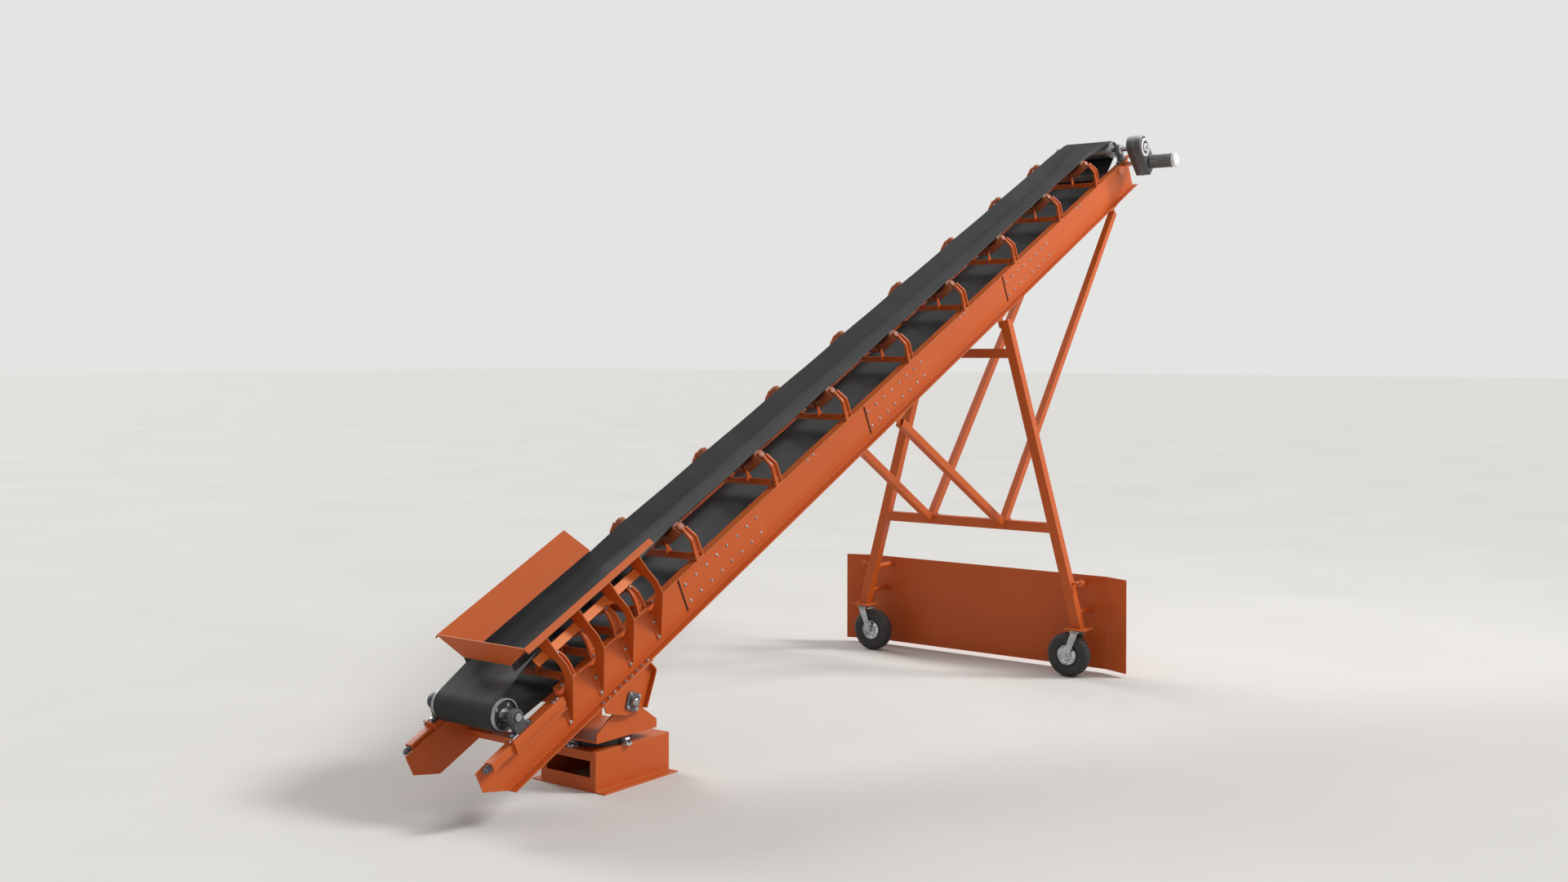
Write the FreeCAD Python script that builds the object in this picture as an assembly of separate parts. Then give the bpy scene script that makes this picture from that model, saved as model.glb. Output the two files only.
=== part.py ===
"""Radial stacker conveyor with an inclined boom, standing on its slewing base and two casters.

Millimetres. The origin is on the ground below the slewing axis, +X points to the
discharge head and +Z up. The boom's pieces are drawn along the boom first: there u runs
up the boom from the boom's hinge, y across it and v square to its top.
"""
import FreeCAD
import Part
import math
import os

os.makedirs("parts", exist_ok=True)

V = FreeCAD.Vector
AXIS_X, AXIS_Y, AXIS_Z = V(1, 0, 0), V(0, 1, 0), V(0, 0, 1)
SIDES = (("left", 1), ("right", -1))   # +Y is the left side, seen along +X

# Boom and its hinge on the turntable
incline_deg = 26.37        # slope of the boom as it stands
hinge_height = 665         # centre of the hinge shaft over the ground
running_gap = 0.05         # radial clearance of a shaft in its bearing
seat_gap = 0.3             # clearance of curved faces that only touch

# Boom rails: formed channels, flanges outwards, in equal sections
web_width = 762            # over the two webs' outer faces, without the flanges
rail_depth = 406
rail_bottom = 228          # underside of the rails over the hinge, square to the boom
flange_width = 73
rail_sheet = 8
first_joint = 1462         # joint of the rails' first two lengths
section_length = 3048      # lengths of rail behind it
section_count = 4
section_gap = 2
tail_reach = 1586          # tail end of the rails behind the hinge
tail_cut_length = 900      # stretch of the tail with its top flange cut away for the take-up
tail_cut_depth = 84
tail_corner = 210          # clipped lower corner at the tail
splice_length = 1180
splice_height = 300
splice_sheet = 8
section_ends = [first_joint + section_length * n for n in range(section_count)]
rail_head = section_ends[-1]
cross_size = 64            # square cross tubes between the webs
cross_tail, cross_head = 620, 1306   # first and last one from the rails' ends
cross_count = 6
cross_lift = 60            # above the rails' underside

# Belt
belt_width = 610
belt_thick = 10
belt_flat = 240            # width of the flat middle in the trough
trough_deg = 35
loading_deg = 20           # flatter trough below the hopper
belt_height = 832          # underside of the belt's middle over the hinge

# Idlers
idler_pitch = section_length / 2.5
idler_first = 1133         # from the hinge, along the boom
idler_count = 7
idler_last = rail_head - 1077
roll_radius = 51
roll_length = 224
bracket_sheet = 8
idler_arm = [(446, 638), (449, 760), (448, 815), (389, 905), (352, 934)]   # back of the end arm
idler_arm_half = 44        # half the arm's width along the boom
idler_cap_radius = 40      # cover on the wing roll's end
impact_arm = [(424, 638), (430, 720), (420, 790), (392, 838), (372, 852)]
impact_arm_half = 42
impact_cap_radius = 28
arm_depth = 20             # lips of the channel-shaped arms
cap_length = 22
cross_angle = 64
impact_first = -549
impact_pitch = 297
impact_count = 4
post_half_width = 19       # upright plates between the rolls
post_sheet = 8
post_rise = 18             # above the middle roll's axis
roll_end_gap = 6
return_roll_radius = 45
return_first = 250         # where the belt levels out behind the tail pulley
return_roll_first = 2942
return_pitch = section_length
return_count = 3
return_height = 506        # underside of the return belt over the hinge
return_ease = 400          # radius of that bend

# Pulleys
tail_pulley_u = -1133
tail_pulley_v = 714
tail_pulley_radius = 120
head_pulley_u = rail_head - 233
head_pulley_v = 791
head_pulley_radius = 101.6
pulley_face = 680
shaft_radius = 30
bend_roll_u = rail_head - 656
bend_roll_v = 576
bend_overhang = 20         # of the bend roll beyond the belt
bend_shaft_radius = 12
bearing_length = 60
bearing_wall = 34
bearing_foot_half = 110
bearing_foot_height = 22
bearing_neck_half = 50
head_bearing_inset = 20    # bearing's middle beyond the web
head_shaft_spare = 50

# Take-ups on the tail ends of the rails
tube_tail, tube_head = -1491, -690
tube_size = 76
sleeve_tail, sleeve_head = -1262, -716
takeup_size = 100
takeup_drop = 94           # middle of the take-up below the rails' top
tail_shaft_spare = 12

# Drive on the head shaft's right end
gearbox_inner = 560
gearbox_thick = 188
gearbox_lean_deg = 20
gearbox_above, gearbox_below = 165, 360
gearbox_half = 117
gearbox_chamfer = 40
gearbox_shaft_spare = 24
gearbox_ring_radius, gearbox_ring_length = 78, 13
drive_bracket_tail, drive_bracket_head = -80, 60   # torque bracket, along the boom from the head shaft
drive_bracket_low, drive_bracket_top = 470, 600
drive_bracket_sheet = 10
motor_radius = 85
motor_length = 350
motor_low = 235            # motor's axis below the head shaft's

# Hopper over the tail end
hopper_tail = -866
hopper_length = 1508
hopper_rim_half = 470
hopper_rim_height = 1131
hopper_foot_half = 246
hopper_foot_height = 953
hopper_lip_out, hopper_lip_down = 40, 37   # lip bent outwards and down along the rim
hopper_sheet = 8
gusset_first = -632
gusset_pitch = 375
gusset_count = 4
gusset_sheet = 8
gusset_rim_half = 436      # where the outer edge meets the wall, half width over the boom
gusset_neck_half = 297     # the same for the inner edge
gusset_outer = [(394, 297), (576, 717), (561, 831), (500, 935)]
gusset_hollow = [(446, 856), (486, 795), (495, 722), (474, 663), (448, 634)]
gusset_notch = 529         # height where the edge below the rail's toe reaches the web
gusset_foot = 270
gusset_flange = 40         # flange along the web, towards the tail
gusset_flange_sheet = 6
edge_bar_top, edge_bar_low = (350, 928), (399, 874)   # outer face of the slanted bar beside the belt
edge_bar_sheet = 8
edge_bar_tail, edge_bar_head = -745, 501
skirt_half = 258           # rubber skirt hanging from the walls
skirt_sheet = 8
skirt_low, skirt_low_head = 896.5, 918

# Base and turntable
base_tail, base_head = -353, 514
base_half_width = 300
base_flange = 98
base_height = 314
base_sheet = 10
anchor_radius = 11
anchor_inset = 60
base_window_sill = 112
base_window_top = 244
base_window_half = 240
ring_radius = 261
ring_bore = 190
ring_height = 36
ring_gap = 0.3             # height between the ring's two halves
table_half_length = 350
table_half_width = 310
table_end_height = 70
table_slope_deg = 35
table_sheet = 14
boss_radius = 62
hinge_shaft_radius = 36
hanger_inner = 350
hanger_sheet = 12
hanger_tail, hanger_head = -357, 273
hanger_pad = 12
hanger_sides = [(-283, 150), (-283, 89), (-109, -58), (90, -124), (328, 85)]
hinge_bearing_out = 34
hinge_bearing_reach, hinge_bearing_ear = 100, 24   # four-eared flange
hinge_bearing_flange = 16
hinge_bearing_radius = 56
boss_drop = 10             # cheeks' top edge below the hinge shaft

# Undercarriage
leg_foot_x = 5897
leg_foot_half = 1357
leg_foot_height = 521
leg_top_half = 478
leg_size = 102
leg_wall = 8
leg_overrun = 0.02         # share of the leg drawn past the foot plate and cut off level
beam_size = 102
beam_wall = 6
lower_beam_height = 1562
upper_beam_height = 3430
brace_size = 76
brace_foot_half = 460
brace_head_lift, brace_tail_lift = 40, -10   # feet over the lower beam's middle
brace_wall = 5
brace_head_u = rail_head - 778       # where the head braces meet the rails, along the boom
brace_tail_u = 4376
lug_drop = 70              # lug's bolt below the rails
lug_width = 90
lug_sheet = 16
lug_pad = 12
foot_plate = 12
foot_plate_size = 240
eye_height = 987           # lashing eyes on the legs' outer faces
eye_reach = 155
eye_radius, eye_bore, eye_width = 31, 17, 24
eye_stem_radius = 12

# Casters
swivel_trail = 110
tyre_radius = 231
tyre_width = 145
tyre_shoulder = 44
rim_radius = 112
rim_width = 110
axle_radius = 14
fork_sheet = 10
fork_inside = 160
fork_crown = 18
fork_crown_in, fork_crown_out = 60, 40   # crown's reach from the swivel's axis
swivel_radius = 52
swivel_height = 14
axle_spare = 16
hub_radius = 38
hub_half = 70
rim_web_half = 20
rim_wall = 16

# Guard plate beside the casters
blade_x = 6265
blade_half = 1500
blade_wing_out, blade_wing_back = 285, 115   # reach of its wings sideways and towards the tail
blade_bottom = 42
blade_top = 1035
blade_sheet = 8
arm_radius = 30
arm_heights = (670, 950)


# Helpers: placing, prisms and tubes
def lift(shape):
    """Place a piece drawn along the boom on the standing boom."""
    placed = shape.copy()
    placed.rotate(V(0, 0, 0), AXIS_Y, -incline_deg)
    placed.translate(V(0, 0, hinge_height))
    return placed


def boom_point(u, y, v):
    slope = math.radians(incline_deg)
    return V(u * math.cos(slope) - v * math.sin(slope), y,
             hinge_height + u * math.sin(slope) + v * math.cos(slope))


def box(x0, x1, y0, y1, z0, z1):
    return Part.makeBox(x1 - x0, y1 - y0, z1 - z0, V(x0, y0, z0))


def prism(points, along):
    """Extrude a closed polygon of vectors."""
    return Part.Face(Part.makePolygon(list(points) + [points[0]])).extrude(along)


def profile_uv(points, y0, y1):
    """Outline in the boom's side view, from y0 to y1."""
    return prism([V(u, y0, v) for u, v in points], V(0, y1 - y0, 0))


def profile_yv(points, u0, u1):
    """Outline across the boom, from u0 to u1."""
    return prism([V(u0, y, v) for y, v in points], V(u1 - u0, 0, 0))


def rod(start, end, radius):
    return Part.makeCylinder(radius, (end - start).Length, start, end - start)


def square_bar(start, end, size, level):
    """Square bar between two points, with one pair of faces along level."""
    run = (end - start).normalize()
    side = (level - run * level.dot(run)).normalize()
    up = run.cross(side)
    corners = [start + side * (size / 2 * a) + up * (size / 2 * b)
               for a, b in ((-1, -1), (1, -1), (1, 1), (-1, 1))]
    return prism(corners, end - start)


def square_tube(start, end, size, wall, level):
    return square_bar(start, end, size, level).cut(square_bar(start, end, size - 2 * wall, level))


def mirrored(shape):
    return shape.mirror(V(0, 0, 0), AXIS_Y)


def both_sides(shape):
    return [shape, mirrored(shape)]


def pose(shape, side):
    return shape if side > 0 else mirrored(shape)


def export(name, shapes):
    solids = shapes if isinstance(shapes, list) else [shapes]
    shape = solids[0] if len(solids) == 1 else Part.makeCompound(solids)
    shape.exportStep(os.path.join("parts", name + ".step"))


web_half = web_width / 2
rail_top = rail_bottom + rail_depth
toe_half = web_half + flange_width

# Rails: a web with outward flanges, the top flange cut away over the take-up
for name, side in SIDES:
    sections = []
    for n, section_end in enumerate(section_ends):
        u0 = (section_ends[n - 1] if n else -tail_reach) + section_gap / 2
        u1 = section_end - section_gap / 2
        web = box(u0, u1, web_half - rail_sheet, web_half, rail_bottom, rail_top)
        low = box(u0, u1, web_half - rail_sheet, toe_half, rail_bottom, rail_bottom + rail_sheet)
        top = box(u0, u1, web_half - rail_sheet, toe_half, rail_top - rail_sheet, rail_top)
        rail = web.fuse([low, top])
        if n == 0:
            rail = rail.cut(box(u0 - 1, u0 + tail_cut_length, web_half - rail_sheet - 1, toe_half + 1,
                                rail_top - tail_cut_depth, rail_top + 1))
            rail = rail.cut(profile_uv([(u0 - 1, rail_bottom - 1), (u0 + tail_corner, rail_bottom - 1),
                                        (u0 - 1, rail_bottom + tail_corner * 0.72)],
                                       web_half - rail_sheet - 1, toe_half + 1))
        sections.append(lift(pose(rail.removeSplitter(), side)))
    export("rail_" + name, sections)

    plates = []
    for middle in section_ends[:-1]:
        v0 = rail_bottom + (rail_depth - splice_height) / 2
        plate = box(middle - splice_length / 2, middle + splice_length / 2,
                    web_half, web_half + splice_sheet, v0, v0 + splice_height)
        plates.append(lift(pose(plate, side)))
    export("splice_plates_" + name, plates)

# Cross tubes between the rails' lower halves
inner_half = web_half - rail_sheet
cross_step = (rail_head - cross_head + tail_reach - cross_tail) / (cross_count - 1)
crosses = []
for k in range(cross_count):
    u = -tail_reach + cross_tail + cross_step * k
    v0 = rail_bottom + cross_lift
    crosses.append(lift(box(u - cross_size / 2, u + cross_size / 2, -inner_half, inner_half, v0, v0 + cross_size)))
export("cross_members", crosses)

# Belt: troughed carrying run, wraps around the pulleys and a flat return run
half_belt = belt_width / 2
wing = half_belt - belt_flat / 2


def belt_section(u, v, deg):
    """Cross-section of the carrying run, its wings raised by deg."""
    flat = belt_flat / 2
    edge = flat + wing * math.cos(math.radians(deg))
    rise = wing * math.sin(math.radians(deg))
    low = [(-edge, rise), (-flat, 0), (flat, 0), (edge, rise)]
    points = [V(u, y, v + dv) for y, dv in low]
    points += [V(u, y, v + dv + belt_thick) for y, dv in reversed(low)]
    return Part.makePolygon(points + [points[0]])


loading_head = impact_first + impact_pitch * (impact_count - 1) + roll_radius
carry_stations = [(tail_pulley_u, tail_pulley_v + tail_pulley_radius, 0),
                  (impact_first - roll_radius, belt_height, loading_deg),
                  (loading_head, belt_height, loading_deg),
                  (idler_first - roll_radius, belt_height, trough_deg),
                  (idler_last + roll_radius, belt_height, trough_deg),
                  (head_pulley_u, head_pulley_v + head_pulley_radius, 0)]
stretches = [Part.makeLoft([belt_section(*start), belt_section(*end)], True, True)
             for start, end in zip(carry_stations, carry_stations[1:])]
carry = stretches[0].fuse(stretches[1:])


def wrap(u, v, radius, start_deg, sweep_deg):
    """Part of the belt around a pulley; angles are counted from +u towards +v."""
    rim = Part.Face(Part.makePolygon([V(u + radius, -half_belt, v), V(u + radius + belt_thick, -half_belt, v),
                                      V(u + radius + belt_thick, half_belt, v), V(u + radius, half_belt, v),
                                      V(u + radius, -half_belt, v)]))
    rim.rotate(V(u, 0, v), AXIS_Y, -start_deg)
    return rim.revolve(V(u, 0, v), V(0, -1, 0), sweep_deg)


def run_below(start, end):
    """Straight stretch of the return run; the points lie on its upper face."""
    du, dv = end[0] - start[0], end[1] - start[1]
    length = math.hypot(du, dv)
    off = (dv / length * belt_thick, -du / length * belt_thick)
    return profile_uv([start, end, (end[0] + off[0], end[1] + off[1]), (start[0] + off[0], start[1] + off[1])],
                      -half_belt, half_belt)


def low_tangent(c0, r0, c1, r1):
    """Touching points of the line below two circles, the first one nearer the tail."""
    du, dv = c1[0] - c0[0], c1[1] - c0[1]
    angle = math.atan2(dv, du) - math.asin((r1 - r0) / math.hypot(du, dv)) - math.pi / 2
    return ((c0[0] + r0 * math.cos(angle), c0[1] + r0 * math.sin(angle)),
            (c1[0] + r1 * math.cos(angle), c1[1] + r1 * math.sin(angle)), math.degrees(angle))


return_top = return_height + belt_thick
tail_centre, head_centre = (tail_pulley_u, tail_pulley_v), (head_pulley_u, head_pulley_v)
ease_centre, bend_centre = (return_first, return_top + return_ease), (bend_roll_u, bend_roll_v)
tail_leave, ease_in, tail_angle = low_tangent(tail_centre, tail_pulley_radius, ease_centre, return_ease)
ease_out, bend_in, level_angle = low_tangent(ease_centre, return_ease, bend_centre, roll_radius)
bend_out, head_in, head_angle = low_tangent(bend_centre, roll_radius, head_centre, head_pulley_radius)
belt = carry.fuse([
    wrap(*tail_centre, tail_pulley_radius, 90, 270 + tail_angle),
    wrap(*ease_centre, return_ease, tail_angle, level_angle - tail_angle),
    wrap(*bend_centre, roll_radius, level_angle, head_angle - level_angle),
    wrap(*head_centre, head_pulley_radius, head_angle, 90 - head_angle),
    run_below(tail_leave, ease_in), run_below(ease_out, bend_in), run_below(bend_out, head_in)])
belt = belt.removeSplitter()
export("belt", lift(belt))

# Trough idlers: an inverted angle across the rails, bent end brackets and three rolls
roll_axis_v = belt_height - roll_radius - seat_gap
roll_seat = roll_radius + seat_gap


def band(path, near, far):
    """Outline between two distances beside a path of points, mitred at its corners."""
    runs = [V(b[0] - a[0], b[1] - a[1], 0).normalize() for a, b in zip(path, path[1:])]
    sides = [V(run.y, -run.x, 0) for run in runs]
    mitres = [(a + b) * (1 / (1 + a.dot(b))) for a, b in zip(sides, sides[1:])]
    offs = [sides[0]] + mitres + [sides[-1]]
    return ([(a[0] + n.x * near, a[1] + n.y * near) for a, n in zip(path, offs)]
            + [(a[0] + n.x * far, a[1] + n.y * far) for a, n in reversed(list(zip(path, offs)))])


def wing_line(u, deg):
    """Start and direction of a wing roll's axis, square to the belt's wing."""
    slope = math.radians(deg)
    start = V(u, belt_flat / 2 + roll_seat * math.sin(slope), belt_height - roll_seat * math.cos(slope))
    return start, V(0, math.cos(slope), math.sin(slope))


def idler_frame(u, deg, path, half, cap_radius):
    """Frame of one trough idler: angle, feet, channel-shaped end arms, roll covers and posts."""
    leg = cross_angle * math.cos(math.pi / 4)
    sheet = bracket_sheet * math.sqrt(2)
    angle = prism([V(u - leg, -web_half, rail_top), V(u, -web_half, rail_top + leg), V(u + leg, -web_half, rail_top),
                   V(u + leg - sheet, -web_half, rail_top), V(u, -web_half, rail_top + leg - sheet),
                   V(u - leg + sheet, -web_half, rail_top)], V(0, web_width, 0))
    foot = box(u - half, u + half, web_half - bracket_sheet / 2, path[0][0] + bracket_sheet,
               rail_top, rail_top + bracket_sheet)
    arm = profile_yv(band(path, 0, arm_depth), u - half, u + half)
    arm = arm.cut(profile_yv(band(path, bracket_sheet, arm_depth * 2), u - half + bracket_sheet,
                             u + half - bracket_sheet))
    start, along = wing_line(u, deg)
    reach = roll_end_gap + roll_length + 1
    cap = rod(start + along * reach, start + along * (reach + cap_length), cap_radius)
    inner = belt_flat / 2
    posts = both_sides(box(u - post_half_width, u + post_half_width, inner - post_sheet / 2, inner + post_sheet / 2,
                           rail_top + leg - bracket_sheet, roll_axis_v + post_rise))
    return angle.fuse(both_sides(foot.fuse([arm, cap])) + posts)


def idler_rolls(u, deg):
    """Middle roll and two wing rolls, square to the belt's wings."""
    start, along = wing_line(u, deg)
    wing_roll = rod(start + along * roll_end_gap, start + along * (roll_end_gap + roll_length), roll_radius)
    middle = rod(V(u, -roll_length / 2, roll_axis_v), V(u, roll_length / 2, roll_axis_v), roll_radius)
    return [middle] + both_sides(wing_roll)


idler_places = [idler_first + idler_pitch * k for k in range(idler_count)] + [idler_last]
impact_places = [impact_first + impact_pitch * k for k in range(impact_count)]
export("idler_frames", [lift(idler_frame(u, trough_deg, idler_arm, idler_arm_half, idler_cap_radius))
                        for u in idler_places])
export("idler_rolls", [lift(r) for u in idler_places for r in idler_rolls(u, trough_deg)])
export("impact_frames", [lift(idler_frame(u, loading_deg, impact_arm, impact_arm_half, impact_cap_radius))
                         for u in impact_places])
export("impact_rolls", [lift(r) for u in impact_places for r in idler_rolls(u, loading_deg)])

# Return idlers between the webs, and the bend roll before the head pulley
returns = []
for k in range(return_count):
    u, v = return_roll_first + return_pitch * k, return_height - return_roll_radius - seat_gap
    returns.append(lift(rod(V(u, -inner_half, v), V(u, inner_half, v), return_roll_radius)))
export("return_rolls", returns)
bend_half = half_belt + bend_overhang
bend = rod(V(bend_roll_u, -bend_half, bend_roll_v), V(bend_roll_u, bend_half, bend_roll_v), roll_radius - seat_gap)
bend = bend.fuse(rod(V(bend_roll_u, -inner_half, bend_roll_v), V(bend_roll_u, inner_half, bend_roll_v),
                     bend_shaft_radius))
export("bend_roll", lift(bend))


# Pulleys: a drum on a through shaft
def pulley(u, v, radius, shaft_left, shaft_right):
    drum = rod(V(u, -pulley_face / 2, v), V(u, pulley_face / 2, v), radius - seat_gap)
    return drum.fuse(rod(V(u, -shaft_right, v), V(u, shaft_left, v), shaft_radius))


tail_shaft_half = web_half + takeup_size / 2 + bearing_length / 2 + tail_shaft_spare
export("tail_pulley", lift(pulley(tail_pulley_u, tail_pulley_v, tail_pulley_radius, tail_shaft_half, tail_shaft_half)))

gearbox_outer = gearbox_inner + gearbox_thick
head_bearing_half = web_half + head_bearing_inset
export("head_pulley", lift(pulley(head_pulley_u, head_pulley_v, head_pulley_radius,
                                  head_bearing_half + head_shaft_spare, gearbox_outer + gearbox_shaft_spare)))


def pillow_block(u, v, y, foot_v):
    """Pillow block on a flat seat at foot_v, bored for the shaft."""
    half = bearing_length / 2
    body = rod(V(u, y - half, v), V(u, y + half, v), shaft_radius + bearing_wall)
    foot = box(u - bearing_foot_half, u + bearing_foot_half, y - half, y + half, foot_v, foot_v + bearing_foot_height)
    neck = box(u - bearing_neck_half, u + bearing_neck_half, y - half, y + half, foot_v, v)
    bore = rod(V(u, y - half - 1, v), V(u, y + half + 1, v), shaft_radius)
    return body.fuse([foot, neck]).cut(bore)


head_blocks = [lift(pose(pillow_block(head_pulley_u, head_pulley_v, head_bearing_half, rail_top), s))
               for _, s in SIDES]
export("head_bearings", head_blocks)

# Take-ups: a sleeve sliding on a fixed square tube, carrying the tail bearing
takeup_y = web_half + takeup_size / 2
takeup_v = rail_top - takeup_drop
for name, side in SIDES:
    tube = box(tube_tail, tube_head, takeup_y - tube_size / 2, takeup_y + tube_size / 2,
               takeup_v - tube_size / 2, takeup_v + tube_size / 2)
    export("takeup_tube_" + name, lift(pose(tube, side)))
    sleeve = box(sleeve_tail, sleeve_head, takeup_y - takeup_size / 2, takeup_y + takeup_size / 2,
                 takeup_v - takeup_size / 2, takeup_v + takeup_size / 2).cut(tube)
    sleeve = sleeve.fuse(pillow_block(tail_pulley_u, tail_pulley_v, takeup_y, takeup_v + takeup_size / 2))
    export("takeup_sleeve_" + name, lift(pose(sleeve, side)))

# Drive: a parallel-shaft gearbox hanging on the head shaft, with its motor
case_top = head_pulley_v + gearbox_above
case_outline = [(head_pulley_u - gearbox_half, head_pulley_v - gearbox_below),
                (head_pulley_u + gearbox_half, head_pulley_v - gearbox_below),
                (head_pulley_u + gearbox_half, case_top - gearbox_chamfer),
                (head_pulley_u + gearbox_half / 2, case_top), (head_pulley_u - gearbox_half / 2, case_top),
                (head_pulley_u - gearbox_half, case_top - gearbox_chamfer)]
case = profile_uv(case_outline, -gearbox_outer, -gearbox_inner)
case = case.fuse(rod(V(head_pulley_u, -gearbox_outer, head_pulley_v),
                     V(head_pulley_u, -gearbox_outer - gearbox_ring_length, head_pulley_v), gearbox_ring_radius))
case = case.cut(rod(V(head_pulley_u, -gearbox_outer - gearbox_shaft_spare, head_pulley_v),
                    V(head_pulley_u, -gearbox_inner + 1, head_pulley_v), shaft_radius))
motor_v = head_pulley_v - motor_low
motor = rod(V(head_pulley_u, -gearbox_outer, motor_v), V(head_pulley_u, -gearbox_outer - motor_length, motor_v),
            motor_radius)
for shape in (case, motor):
    shape.rotate(V(head_pulley_u, 0, head_pulley_v), AXIS_Y, gearbox_lean_deg)
export("gearbox", lift(case))
export("drive_motor", lift(motor))
bracket_tail, bracket_head = head_pulley_u + drive_bracket_tail, head_pulley_u + drive_bracket_head
pad = box(bracket_tail, bracket_head, -web_half - drive_bracket_sheet, -web_half, drive_bracket_low, drive_bracket_top)
shelf = box(bracket_tail, bracket_head, -gearbox_inner, -web_half,
            drive_bracket_top - drive_bracket_sheet, drive_bracket_top)
export("drive_bracket", lift(pad.fuse(shelf)))

# Hopper: sloping side walls with a bent lip, a tail plate, gussets on the rails and rubber skirts
hopper_head = hopper_tail + hopper_length
rim, foot = (hopper_rim_half, hopper_rim_height), (hopper_foot_half, hopper_foot_height)
lip = (rim[0] + hopper_lip_out, rim[1] - hopper_lip_down)
wall_outline = band([foot, rim, lip], 0, hopper_sheet)
for name, side in SIDES:
    export("hopper_wall_" + name, lift(pose(profile_yv(wall_outline, hopper_tail, hopper_head), side)))
end_plate = profile_yv([(-foot[0], foot[1]), (foot[0], foot[1]), (rim[0], rim[1]), (-rim[0], rim[1])],
                       hopper_tail - hopper_sheet, hopper_tail)
export("hopper_end", lift(end_plate))


def wall_under(y):
    """Point on the wall's underside at half width y."""
    (bend_y, bend_v), (low_y, low_v) = wall_outline[4], wall_outline[5]
    return y, low_v + (bend_v - low_v) * (y - low_y) / (bend_y - low_y)


gusset_outline = [wall_under(gusset_rim_half), wall_under(gusset_neck_half), edge_bar_top, edge_bar_low]
gusset_outline += gusset_hollow + [(toe_half, rail_top), (toe_half, rail_top - rail_sheet), (web_half, gusset_notch)]
gusset_outline += [(web_half, gusset_foot)] + gusset_outer
edge_bar_outline = band([edge_bar_low, edge_bar_top], -edge_bar_sheet, 0)
skirt_outline = [(hopper_tail, skirt_low), (loading_head, skirt_low), (hopper_head, skirt_low_head),
                 (hopper_head, foot[1] + skirt_sheet), (hopper_tail, foot[1] + skirt_sheet)]
bars, skirts = [], []
for name, side in SIDES:
    gussets = []
    for k in range(gusset_count):
        u0 = gusset_first + gusset_pitch * k
        flange = box(u0 - gusset_flange, u0, web_half, web_half + gusset_flange_sheet, gusset_foot, gusset_notch)
        gussets.append(lift(pose(profile_yv(gusset_outline, u0, u0 + gusset_sheet).fuse(flange), side)))
    export("hopper_gussets_" + name, gussets)
    bars.append(lift(pose(profile_yv(edge_bar_outline, edge_bar_tail, edge_bar_head), side)))
    skirt = profile_uv(skirt_outline, skirt_half, skirt_half + skirt_sheet)
    skirts.append(lift(pose(skirt.cut(profile_yv(wall_outline, hopper_tail - 1, hopper_head + 1)), side)))
export("edge_bars", bars)
export("hopper_skirts", skirts)

# Hinge hangers below the rails, with their bearings
pad_bottom = rail_bottom - hanger_pad
hanger_outline = [(hanger_tail, rail_bottom), (hanger_tail, pad_bottom)] + hanger_sides
hanger_outline += [(hanger_head, pad_bottom), (hanger_head, rail_bottom)]
bearing_inner = hanger_inner + hanger_sheet
ear_corners = [(hinge_bearing_reach, hinge_bearing_ear), (hinge_bearing_ear, hinge_bearing_reach)]
ear_outline = ear_corners + [(-u, v) for u, v in reversed(ear_corners)]
ear_outline += [(-u, -v) for u, v in ear_corners] + [(u, -v) for u, v in reversed(ear_corners)]
for name, side in SIDES:
    plate = profile_uv(hanger_outline, hanger_inner, bearing_inner)
    pad = box(hanger_tail, hanger_head, hanger_inner, toe_half, pad_bottom, rail_bottom)
    bore = rod(V(0, hanger_inner - 1, 0), V(0, bearing_inner + hinge_bearing_out + 1, 0),
               hinge_shaft_radius + running_gap)
    export("hanger_" + name, lift(pose(plate.fuse(pad).cut(bore), side)))
    flange = profile_uv(ear_outline, bearing_inner, bearing_inner + hinge_bearing_flange)
    flange = flange.fuse(rod(V(0, bearing_inner, 0), V(0, bearing_inner + hinge_bearing_out, 0), hinge_bearing_radius))
    export("hinge_bearing_" + name, lift(pose(flange.cut(bore), side)))

# Slewing base: an open box with foot flanges along both sides
walls = both_sides(box(base_tail, base_head, base_half_width - base_sheet, base_half_width, 0, base_height))
feet = both_sides(box(base_tail, base_head, base_half_width - base_sheet, base_half_width + base_flange,
                      0, base_sheet))
anchor_y = base_half_width + base_flange / 2
anchors = [Part.makeCylinder(anchor_radius, base_sheet + 2, V(x, y, -1))
           for x in (base_tail + anchor_inset, base_head - anchor_inset) for y in (-anchor_y, anchor_y)]
top = box(base_tail, base_head, -base_half_width, base_half_width, base_height - base_sheet, base_height)
front = box(base_head - base_sheet, base_head, -base_half_width, base_half_width, 0, base_height)
back = box(base_tail, base_tail + base_sheet, -base_half_width, base_half_width, 0, base_height)
back = back.cut(box(base_tail - 1, base_tail + base_sheet + 1, -base_window_half, base_window_half,
                    base_window_sill, base_window_top))
base = top.fuse(walls + feet + [front, back]).removeSplitter().cut(anchors)
export("base_frame", base)

# Slewing ring in two halves, and the turntable with its cheeks and hinge shaft
ring_low = Part.makeCylinder(ring_radius, ring_height, V(0, 0, base_height))
ring_low = ring_low.cut(Part.makeCylinder(ring_bore, ring_height, V(0, 0, base_height)))
export("slew_ring_base", ring_low)
table_bottom = base_height + 2 * ring_height + ring_gap
ring_up = Part.makeCylinder(ring_radius, ring_height, V(0, 0, base_height + ring_height + ring_gap))
ring_up = ring_up.cut(Part.makeCylinder(ring_bore, ring_height, V(0, 0, base_height + ring_height + ring_gap)))
export("slew_ring_table", ring_up)
deck = box(-table_half_length, table_half_length, -table_half_width, table_half_width,
           table_bottom, table_bottom + table_sheet)
rise = math.tan(math.radians(table_slope_deg))
cheek_top = hinge_height - boss_drop
shoulder_x = table_half_length - (cheek_top - table_bottom - table_end_height) / rise
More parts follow.
